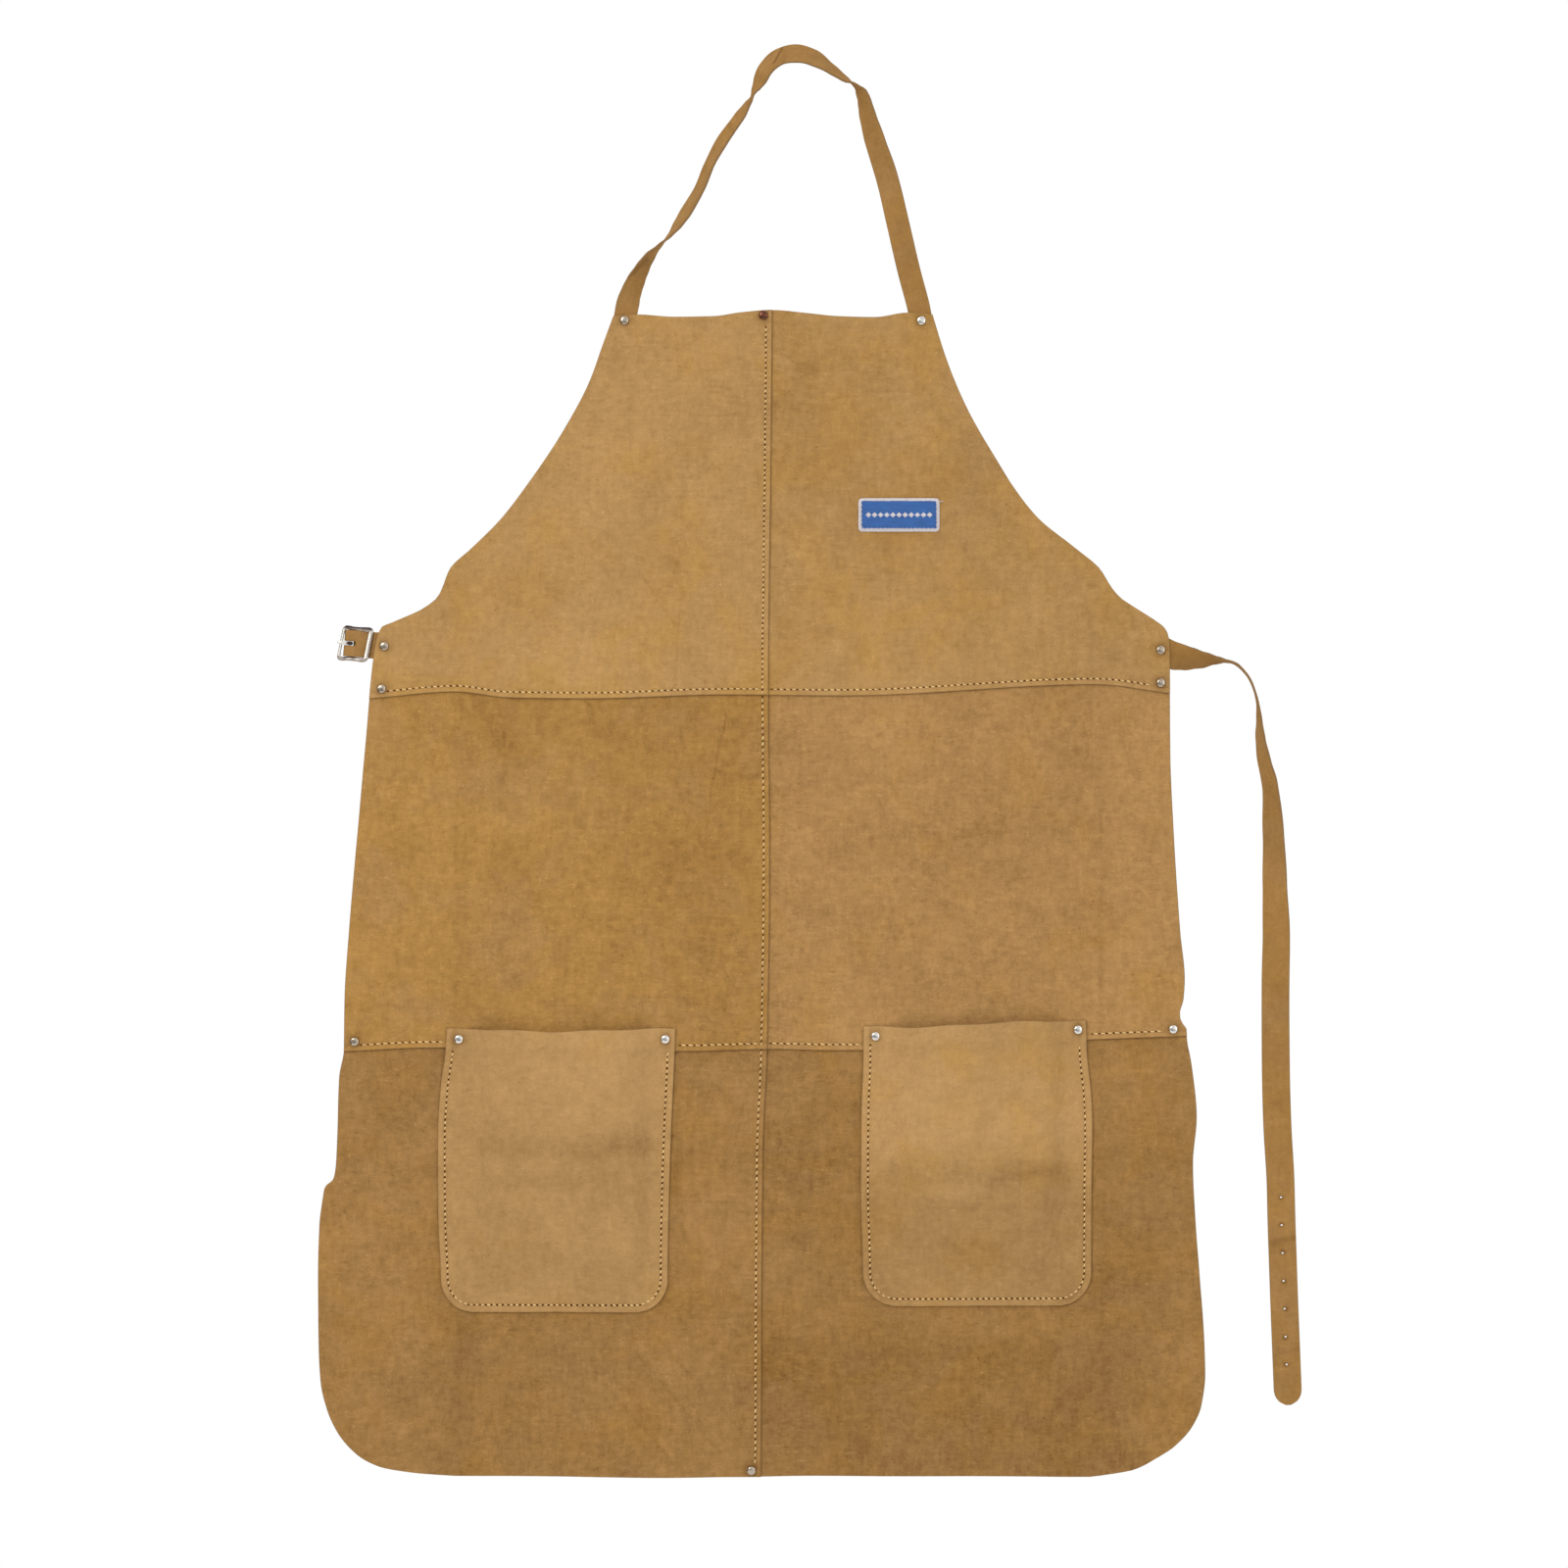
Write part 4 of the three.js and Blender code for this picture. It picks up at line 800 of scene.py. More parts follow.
def panel(row, side, spec, look):
    """One lap-sewn panel; the spec's top and bottom are (level, waver) and its sides are curves of z."""
    settings = bpy.context.scene.apron
    colour_name = spec["colour"]
    name = f"{colour_name}_panel_{side}"
    node = f"panel_{row}_{side}"
    colour = np.array(getattr(settings, f"{colour_name}_colour")) * look.get("tint", (1, 1, 1))
    left, right = (left_edge, centre_seam) if side == "left" else (lambda z: centre_seam(z) - LAP, right_edge)
    (top_z, top_waver), (bottom_z, bottom_waver) = spec["top"], spec["bottom"]
    levels = graded(bottom_z, top_z, 4.2, spec["levels"])
    width = float(right((top_z + bottom_z) / 2) - left((top_z + bottom_z) / 2))
    shares = graded(0.0, width, 4.2, [0.0, width - 1e-3]) / width
    t = (levels - bottom_z) / (top_z - bottom_z)
    z = np.repeat(levels[:, None], len(shares), 1)
    edge_left, edge_right = left(levels)[:, None], right(levels)[:, None]
    x = edge_left + (edge_right - edge_left) * shares[None, :]
    fade = 45.0
    z = z + top_waver(x) * smooth(1 - (1 - t)[:, None] * (top_z - bottom_z) / fade)
    z = z + bottom_waver(x) * smooth(1 - t[:, None] * (top_z - bottom_z) / fade)
    x = left(z) + (right(z) - left(z)) * shares[None, :]
    depth = low(node)[1] + surface(x, z)
    for seam in spec["grooves"] + ([centre_groove()] if side == "left" else []):
        depth = depth + seam(x, z)
    marks = tuple(look.get("marks", ())) + tuple(rivet_shade_marks(look.get("rivets", ())))
    finishes = [
        finish(
            suede, f"{name}_suede", colour, nap=look.get("nap", 1.0), marks=marks,
            covered=(row, side) != ("upper", "left"), sewn=True,
        ),
        finish(cut_leather, f"{colour_name}_cut_edge", colour),
    ]  # fmt: skip
    added = look.get("tone", lambda x, z: 0.0)
    obj = leather_object(
        name, sheet_parts(x, z, depth, PANEL), finishes, tone=lambda x, z: spots_and_fold_shade(x, z) + added(x, z),
        warm=look.get("warm", 0.0), lap=lap_distance(row, side), edge=edge_distance(row, side),
    )  # fmt: skip
    settle(obj, "root", f"{colour_name}_leather", node)
    spans = right(levels) - left(levels)
    size = (float(spans.max()) * MM, (top_z - bottom_z) * MM)
    area = min(float(np.trapz(spans, levels)) * MM * MM, size[0] * size[1])


def groove(line, width=1.3, depth=0.35):
    """A shallow channel where a seam's stitches pull the leather in, with a slight lip beside it."""

    def at(x, z):
        away = line(x, z)
        return depth * np.exp(-((away / width) ** 2)) - 0.12 * np.exp(-(((away - 3.2) / 2.0) ** 2))

    return at


def cross_groove(waver, level):
    return groove(lambda x, z: z - (level + waver(x) + STITCH_INSET))


def centre_groove():
    return groove(lambda x, z: x - (centre_seam(z) - STITCH_INSET))


def pocket_front(side, x, z):
    """Depth of an empty pocket's front: over the lap at its mouth, then bulged inside its sewn border."""
    centre, width = POCKETS[side]
    over = smooth((seam2_level(x) - z) / LAP_STEP)
    from_side = width / 2 - np.abs(x - centre)
    from_bottom = z - (seam2_level(centre) + POCKET_RISE - POCKET_DEPTH)
    bulge = smooth((from_side - POCKET_FLANGE - 2) / POCKET_SLOPE) * smooth(
        (from_bottom - POCKET_FLANGE) / (2 * POCKET_SLOPE)
    )
    layer = {"left": 0.0, "right": STEP}[side]
    sag = 0.5 * ripples(x, z, 31, 70) + 0.25 * ripples(x, z, 32, 30)
    return layer + STEP * over - (POCKET_BULGE + sag) * bulge * 0.92


# how far a pocket's sides stray from straight, by height above its bottom
POCKET_STRAY = {
    ("left", -1): curve((0, -4.5), (30, -5), (80, -7), (140, -7), (175, -5), (205, -1), (222, 0)),
    ("left", 1): curve((0, -7), (30, -7.5), (90, -6.5), (150, -4.5), (200, -2.2), (222, -1.5)),
    ("right", -1): curve((0, 0), (40, -0.5), (90, -2), (150, -1.6), (200, 0), (222, 0)),
    ("right", 1): curve((0, 1.5), (40, 1.4), (100, 1.6), (140, 2), (160, 1.4), (200, -2.4), (222, -3)),
}


def pocket_side(side, height, sign, inset=0.0):
    """x of a pocket's side edge at a height above its bottom, with the rounded lower corner."""
    centre, width = POCKETS[side]
    radius = POCKET_CORNER - inset
    rise = np.clip(height - inset, 0, radius)
    corner = radius - np.sqrt(np.maximum(radius**2 - (radius - rise) ** 2, 0))
    return centre + sign * (width / 2 - inset - corner) + POCKET_STRAY[side, sign](height)


def edge_of_pocket(side, x, z):
    """How far a point of a pocket is from its sewn edge, about 1 mm less than the stitches' own measure."""
    height = z - (seam2_level(POCKETS[side][0]) + POCKET_RISE - POCKET_DEPTH)
    inside = np.minimum(x - pocket_side(side, height, -1), pocket_side(side, height, 1) - x)
    return np.clip(np.minimum(inside, height) - 1.0, -FIELD_REACH, FIELD_REACH)


def pocket(side):
    settings = bpy.context.scene.apron
    centre, width = POCKETS[side]
    node = f"pocket_{side}"
    depth = POCKET_DEPTH
    rise = np.unique(np.concatenate([
        depth - graded(0.0, depth, 3.4, [0.0]), POCKET_CORNER * (1 - np.cos(np.linspace(0, math.pi / 2, 15))),
    ]).round(3))  # fmt: skip
    rise = rise[np.concatenate([[True], np.diff(rise) > 0.12])]
    shares = graded(0.0, width, 3.4, [0.0, width]) / width
    height = np.repeat(rise[:, None], len(shares), 1)
    x0 = pocket_side(side, height, -1)
    x1 = pocket_side(side, height, 1)
    x = lerp(x0, x1, shares[None, :])
    bottom = seam2_level(centre) + POCKET_RISE - depth
    top = seam2_level(x) + POCKET_RISE + 0.9 * np.sin(x / 23) + 0.5 * np.sin(x / 9)
    z = bottom + height / depth * (top - bottom)
    line = np.minimum(np.minimum(x - x0, x1 - x), height + 0 * x)
    sewn = 0.35 * np.exp(-(((line - POCKET_STITCH_INSET) / 1.3) ** 2)) * smooth((seam2_level(x) - z) / 6 + 1)
    mouth = -0.3 * smooth(1 - (top - z) / 7) * smooth((np.minimum(x - x0, x1 - x) - 18) / 14)
    front = pocket_front(side, x, z) + surface(x, z) + sewn + mouth
    parts = sheet_parts(x, z, front, PANEL)
    colour = settings.pocket_colour
    marks = tuple(rivet_shade_marks([f"pocket_{side}_left", f"pocket_{side}_right"]))
    # painted fold shade: a dark band along each pocket's pressed fold and fainter ones near it, painted shade
    # below the fold and painted light above it
    fold, shade_below_fold, light_above_fold, warm = {
        "left": (-851, 0.020, 0.055, -0.9), "right": (-871, 0.055, 0.042, -0.3),
    }[side]
    marks += (
        ((centre - 62, fold), (centre + 66, fold + 2), 10.0, -0.18),
        ((centre - 60, fold - 24), (centre + 10, fold - 26), 7.0, -0.10),
        ((centre + 12, fold - 6), (centre + 60, fold + 4), 4.0, -0.09),
    )  # fmt: skip
    obj = leather_object(
        f"patch_pocket_{side}", parts,
        [
            finish(suede, f"pocket_{side}_suede", colour, nap=0.85, marks=marks, sewn=True),
            finish(cut_leather, "pocket_cut_edge", colour),
        ],
        tone=lambda x, z: (
            spots_and_fold_shade(x + 400, z + 130) - shade_below_fold * smooth((fold + 5 - z) / 30)
            + light_above_fold * smooth((z - fold - 5) / 40)
        ),
        warm=warm,
        edge=lambda px, pz: edge_of_pocket(side, px, pz),
    )  # fmt: skip
    settle(obj, "root", "pocket_leather", node)
    flat = (width * MM, depth * MM)
    flat[0] * flat[1] * 0.99
    return obj


# ---------------------------------------------------------------- straps


def strap_path(stops, spacing):
    """Frames evenly spaced along a smooth path through [x, y, z, turn] stops."""
    stops = np.array(stops, float)
    points, turns = stops[:, :3], stops[:, 3]
    padded = np.vstack([2 * points[0] - points[1], points, 2 * points[-1] - points[-2]])
    samples, ts = [], []
    for i in range(len(points) - 1):
        p = padded[i:i + 4]
        d = np.linalg.norm(np.diff(p, axis=0), axis=1) ** 0.5
        t1 = (p[1] - p[0]) / d[0] - (p[2] - p[0]) / (d[0] + d[1]) + (p[2] - p[1]) / d[1]
        t2 = (p[2] - p[1]) / d[1] - (p[3] - p[1]) / (d[1] + d[2]) + (p[3] - p[2]) / d[2]
        t1, t2 = t1 * d[1], t2 * d[1]
        for t in np.linspace(0, 1, 24, endpoint=False):
            samples.append(
                p[1] * (1 + 2 * t) * (1 - t) ** 2 + t1 * t * (1 - t) ** 2
                + p[2] * t * t * (3 - 2 * t) - t2 * t * t * (1 - t)
            )  # fmt: skip
            ts.append(i + t)
    samples.append(points[-1])
    ts.append(len(points) - 1)
    samples, ts = np.array(samples), np.array(ts)
    run = np.concatenate([[0], np.cumsum(np.linalg.norm(np.diff(samples, axis=0), axis=1))])
    length = run[-1]
    s = np.linspace(0, length, int(length / spacing) + 1)
    at = np.stack([np.interp(s, run, samples[:, k]) for k in range(3)], 1)
    along = np.gradient(at, axis=0)
    along /= np.linalg.norm(along, axis=1)[:, None]
    t = np.interp(s, run, ts)
    stop = np.minimum(t.astype(int), len(turns) - 2)
    turn = np.radians(lerp(turns[stop], turns[stop + 1], smooth(t - stop)))
    depth = np.array([0.0, 1.0, 0.0])
    flat = np.cross(np.broadcast_to(depth, along.shape), along)
    flat /= np.linalg.norm(flat, axis=1)[:, None]
    wide = flat * np.cos(turn)[:, None] + depth * np.sin(turn)[:, None]
    wide -= along * np.sum(wide * along, axis=1)[:, None]
    wide /= np.linalg.norm(wide, axis=1)[:, None]
    return {"s": s, "at": at, "along": along, "wide": wide, "normal": np.cross(along, wide), "length": length}


def on_path(path, points, thickness):
    """Wraps a flat strip's (along, depth, across) points round a path."""
    s = points[:, 0]
    pick = lambda key: np.stack([np.interp(s, path["s"], path[key][:, k]) for k in range(3)], 1)
    across, depth = points[:, 2:3], points[:, 1:2] - thickness / 2
    return pick("at") + pick("wide") * across - pick("normal") * depth


HOLE_LINES = (-1.05, -0.36, 0.36, 1.05)  # grid lines through a hole, in radii from its centre


def strip(path, width, thickness, holes=(), half_width=None, sway=None, slot_cut=None, spacing=2.6):
    """A strap as a flat strip: grid along and across, holes punched, both faces and rounded edges."""
    along = set(np.round(np.linspace(0, path["length"], int(path["length"] / spacing)), 3))
    across = [-1, -0.93, -0.82, -0.62, -0.4, 0.4, 0.62, 0.82, 0.93, 1]
    across = [a * width / 2 for a in across]
    radius = max([r for _, r in holes], default=1.6)
    across += [radius * k for k in HOLE_LINES]
    if slot_cut is not None:
        across = [a for a in across if abs(a) > slot_cut[2] / 2 + 0.5] + [-slot_cut[2] / 2, slot_cut[2] / 2]
    for centre, r in holes:
        along = {line for line in along if abs(line - centre) > r * 1.05 + 0.7}
        along |= {round(centre + r * k, 3) for k in HOLE_LINES}
    if slot_cut is not None:
        along = {line for line in along if min(abs(line - slot_cut[0]), abs(line - slot_cut[1])) > 0.5}
        along |= set(slot_cut[:2])
    along, across = np.array(sorted(along)), np.array(sorted(set(across)))
    x = np.repeat(along[None, :], len(across), 0)
    z = np.repeat(across[:, None], len(along), 1)
    if half_width is not None:
        z = z * half_width(x) / (width / 2)
    cells = np.ones((len(across) - 1, len(along) - 1), bool)
    for centre, r in holes:
        punch(x, z, cells, (centre, 0.0), r)
    if slot_cut is not None:
        mid_x, mid_z = (x[:-1, :-1] + x[1:, 1:]) / 2, (z[:-1, :-1] + z[1:, 1:]) / 2
        cells &= ~((mid_x > slot_cut[0]) & (mid_x < slot_cut[1]) & (np.abs(mid_z) < slot_cut[2] / 2))
    front = np.zeros_like(x) if sway is None else sway(x, z)
    points, faces, slots, places = sheet_parts(x, z, front, thickness, cells, 0.32)
    return points, faces[:, ::-1], slots, places


def neck_stops():
    rivet_left, rivet_right = RIVET_SPOTS["neck_left"], RIVET_SPOTS["neck_right"]
    lx, rx, lz, rz = rivet_left[0], rivet_right[0], rivet_left[2], rivet_right[2]
    ly = STEP + STRAP / 2
    ry = 2 * STEP + STRAP / 2
    return [
        (lx - 4, ly, lz - 14, 0), (lx, ly, lz, 0), (lx + 2.2, ly, lz + 12, 6), (-122.6, 3.5, -180, 33),
        (-119, 4, -171, 45), (-114.3, 4.5, -161.7, 60), (-109, 5, -152.5, 72), (-101, 5, -143, 90),
        (-92, 5, -134, 103), (-85, 5, -124.7, 116), (-79, 5, -115.5, 122), (-68.5, 4, -97, 118),
        (-61.2, 4, -78.5, 118), (-50.8, 3, -60, 124), (-37.3, 2, -41.6, 120), (-30.5, 2, -31, 108),
        (-26.8, 2, -25, 97), (-23.5, 2, -18, 114), (-20.5, 1, -11.5, 128), (-16.5, 1, -3.5, 134),
        (-7, 0, 5, 142), (7, 0, 8, 150), (20, 0, 4.8, 142), (34, 1, -3.8, 122), (45, 1.5, -11.3, 112),
        (54, 2, -16.6, 92), (59, 3, -23, 68), (61.4, 3, -31, 58), (63.8, 4, -41.6, 48), (69.2, 4.5, -60, 32),
        (78.4, 5, -87.8, 20), (87.3, 5.3, -124.7, 12), (95.9, 5.5, -161.7, 0), (rx - 2.3, ry, rz + 12, 0),
        (rx, ry, rz, 0), (rx + 3, ry, rz - 14, 0),
    ]  # fmt: skip


def waist_stops():
    x, _, z = RIVET_SPOTS["waist_strap"]
    y = 2 * STEP + STRAP / 2
    return [
        (x - 13, y, z + 1.5, 0), (x, y, z, 0), (x + 9, y + 1.4, z - 3.9, 7), (x + 21.5, 11.2, z - 6.5, 38),
        (x + 34, 14.5, z - 7.8, 60), (x + 46, 15.5, z - 7.9, 80), (x + 53, 15.3, z - 8.3, 90),
        (x + 60, 15, z - 10, 93), (x + 66, 15, z - 15, 95), (x + 71.5, 15.5, z - 22, 96),
        (x + 75.5, 16, z - 31.5, 97), (x + 78, 17, z - 41, 96), (x + 79.5, 18, z - 55, 90),
        (x + 80.6, 19, z - 69, 82), (x + 83.6, 19, z - 87, 73), (x + 87.8, 19, z - 105, 67),
        (x + 90.6, 19, z - 144, 52), (x + 91.6, 18, z - 183, 38), (x + 92.8, 17, z - 221.5, 24),
        (x + 92, 16, z - 260, 18), (x + 92.4, 16, z - 338, 15), (x + 93.5, 15.5, z - 377, 8),
        (x + 95.7, 15, z - 416, 0), (x + 96.7, 15, z - 453, 0), (x + 99.4, 15, z - 531, 0),
        (x + 102, 15, z - 595, 0),
    ]  # fmt: skip


def creased(creases, seed):
    """Tone along a strap: dark and light cross creases at distances along it, over faint blotches."""

    def at(s, w):
        out = 0.02 * ripples(s, w * 3, seed, 60) + 0.012 * ripples(s, w * 3, seed + 1, 18)
        for place, width, strength in creases:
            out = out + strength * np.exp(-(((s - place - 0.25 * w) / width) ** 2))
        return out

    return at


def strap_object(name, node, body, path, parts, creases, seed, marks=()):
    colour = bpy.context.scene.apron.strap_colour
    obj = leather_object(
        name, parts,
        [
            finish(suede, f"{name}_suede", colour, nap=0.7, marks=marks),
            finish(cut_leather, "strap_cut_edge", colour),
        ],
        place=lambda points: on_path(path, points, STRAP),
        tone=creased(creases, seed), warm=0.1,
    )  # fmt: skip
    settle(obj, body, "strap_leather", node)
    path["length"] * MM
    return obj


# ---------------------------------------------------------------- turned and swept metal


def turned(name, profile, centre, axis, finish_of, sides=40):
    """A smooth piece turned round an axis; profile is (radius, along) from one end to the other."""
    axis = np.array(axis, float)
    one = np.cross(axis, (0.0, 0.0, 1.0) if abs(axis[2]) < 0.9 else (1.0, 0.0, 0.0))
    one /= np.linalg.norm(one)
    two = np.cross(axis, one)
    points, rings = [], []
    for radius, along in profile:
        spot = np.array(centre) + axis * along
        if radius < 1e-6:
            rings.append([len(points)])
            points.append(spot)
            continue
        rings.append(list(range(len(points), len(points) + sides)))
        for k in range(sides):
            a = math.tau * k / sides
            points.append(spot + radius * (math.cos(a) * one + math.sin(a) * two))
    faces = []
    for near, far in zip(rings[:-1], rings[1:]):
        for k in range(sides):
            n = (k + 1) % sides
            if len(near) == 1:
                faces.append((near[0], far[k], far[n]))
            elif len(far) == 1:
                faces.append((near[k], far[0], near[n]))
            else:
                faces.append((near[k], far[k], far[n], near[n]))
    return make_object(name, points, faces, [finish_of])


def swept(points, frames_a, frames_b, closed=False, sides=14, cap=True):
    """Mesh of a round section moved along points; the two frames scale and turn it."""
    count = len(points)
    ring = [(math.cos(math.tau * k / sides), math.sin(math.tau * k / sides)) for k in range(sides)]
    verts = [points[i] + c * frames_a[i] + s * frames_b[i] for i in range(count) for c, s in ring]
    faces = []
    for i in range(count if closed else count - 1):
        j = (i + 1) % count
        for k in range(sides):
            n = (k + 1) % sides
            faces.append((i * sides + k, j * sides + k, j * sides + n, i * sides + n))
    if not closed and cap:
        for i, flip in ((0, False), (count - 1, True)):
            verts.append(points[i])
            hub = len(verts) - 1
            for k in range(sides):
                n = (k + 1) % sides
                face = (hub, i * sides + k, i * sides + n)
                faces.append(face[::-1] if flip else face)
    return verts, faces


def closed_curve(stops, count):
    """Evenly numbered points on a smooth closed curve; each stop may carry extra values."""
    stops = np.array(stops, float)
    n = len(stops)
    out = []
    for i in range(n):
        p0, p1, p2, p3 = (stops[(i + k - 1) % n] for k in range(4))
        steps = count // n
        for k in range(steps):
            t = k / steps
            out.append(0.5 * (2 * p1 + (p2 - p0) * t + (2 * p0 - 5 * p1 + 4 * p2 - p3) * t * t
                              + (3 * p1 - p0 - 3 * p2 + p3) * t**3))  # fmt: skip
    return np.array(out)


TAB_TILT = math.radians(5)
CENTRE_BAR = -27.6
LEFT_BAR = -34.2
RIGHT_BAR = -12.7
BAR_Y = 5.1
SIDE_BAR_Y = 3.3
RAIL_W = 12.2
CENTRE_BAR_RADIUS = 1.0


def from_tab(points):
    """Turns points in the buckle tab's own frame, (along, depth, up), into the apron's frame."""
    points = np.asarray(points, float)
    x, _, z = RIVET_SPOTS["tab"]
    out = points.copy()
    out[:, 0] = x + points[:, 0] * math.cos(TAB_TILT) + points[:, 2] * math.sin(TAB_TILT)
    out[:, 2] = z - points[:, 0] * math.sin(TAB_TILT) + points[:, 2] * math.cos(TAB_TILT)
    return out


# ---------------------------------------------------------------- stitches


def capsule(start, end, out, radius, rise, sides=8, rings=7):
    """One stitch: a round thread that dives at both ends and arches over the leather between them."""
    start, end, out = (np.asarray(v, float) for v in (start, end, out))
    along = end - start
    length = np.linalg.norm(along)
    along = along / length
    side = np.cross(along, out)
    points, frame_a, frame_b = [], [], []
    for k in range(rings):
        t = k / (rings - 1)
        swell = math.sin(math.pi * min(max(t, 0.04), 0.96)) ** 0.45
        points.append(start + along * length * t + out * (rise * math.sin(math.pi * t) - 0.25))
        frame_a.append(side * radius * swell)
        frame_b.append(out * radius * swell)
    return swept(points, frame_a, frame_b, sides=sides)


def lens(centre, along, out, length, width, height, sides=8):
    """A flat dimple: a closed low double cone, longer along the seam."""
    centre, along, out = (np.asarray(v, float) for v in (centre, along, out))
    side = np.cross(along, out)
    angles = [math.tau * k / sides for k in range(sides)]
    points = [centre + along * length * math.cos(a) + side * width * math.sin(a) for a in angles]
    points += [centre + out * height, centre - out * height]
    faces = [(k, (k + 1) % sides, sides) for k in range(sides)]
    faces += [((k + 1) % sides, k, sides + 1) for k in range(sides)]
    return points, faces


def gather(parts):
    """Joins (points, faces, slot, tone) parts into one mesh's lists."""
    points, faces, slots, tones = [], [], [], []
    for verts, polys, slot, tone in parts:
        base = len(points)
        points.extend(verts)
        faces.extend(tuple(i + base for i in face) for face in polys)
        slots.extend([slot] * len(polys))
        tones.extend([tone] * len(verts))
    return points, faces, slots, tones


def even(points, pitch):
    """Points along a polyline at an even pitch."""
    points = np.asarray(points, float)
    run = np.concatenate([[0], np.cumsum(np.linalg.norm(np.diff(points, axis=0), axis=1))])
    count = max(2, int(round(run[-1] / pitch)) + 1)
    s = np.linspace(0, run[-1], count)
    return np.stack([np.interp(s, run, points[:, k]) for k in range(points.shape[1])], 1)


def stitch_run(name, node, path, depth_at, seed, spread=1.0):
    """A row of stitches along a path on the leather, with the needle holes between them."""
    settings = bpy.context.scene.apron
    rng = np.random.default_rng(seed)
    holes = even(path, settings.stitch_length / MM * spread)
    radius = settings.thread_size / MM / 2
    out = OUTWARD
    parts = []
    for here, there in zip(holes[:-1], holes[1:]):
        jog = rng.normal(0, 0.16, 2)
        along = np.array([there[0] - here[0], 0, there[1] - here[1]])
        along /= np.linalg.norm(along)
        side = np.cross(along, out)
        tilt = side * 0.32
        start = np.array([here[0] + jog[0] * 0.5, 0, here[1] + jog[1] * 0.5]) + along * 0.85 - tilt
        end = np.array([there[0] + jog[0] * 0.5, 0, there[1] + jog[1] * 0.5]) - along * 0.85 + tilt
        for spot in (start, end):
            spot[1] = depth_at(spot[0], spot[2])
        rise = radius * 0.95 + rng.uniform(0, 0.1)
        verts, faces = capsule(start, end, out, radius * rng.uniform(0.9, 1.1), rise)
        parts.append((verts, faces, 0, rng.normal(0, 0.13)))
        # a dark dimple of painted shade at each needle hole
        spot = np.array([here[0], depth_at(here[0], here[1]) - 0.06, here[1]])
        verts, faces = lens(spot, along, out, rng.uniform(0.95, 1.25), rng.uniform(0.7, 0.95), 0.16)
        parts.append((verts, faces, 1, 0.0))
    points, faces, slots, tones = gather(parts)
    finishes = [
        finish(spun_thread, "sewing_thread", settings.thread_colour),
        finish(needle_hole, "needle_hole", settings.hole_colour),
    ]
    obj = make_object(name, points, faces, finishes, slots, {"tone": tones})
    return settle(obj, "root", "thread", node)


# ---------------------------------------------------------------- operators


class ApronOperator(bpy.types.Operator):
    bl_options = {"REGISTER", "UNDO"}

    def execute(self, context):
        self.build(context.scene.apron)
        return {"FINISHED"}


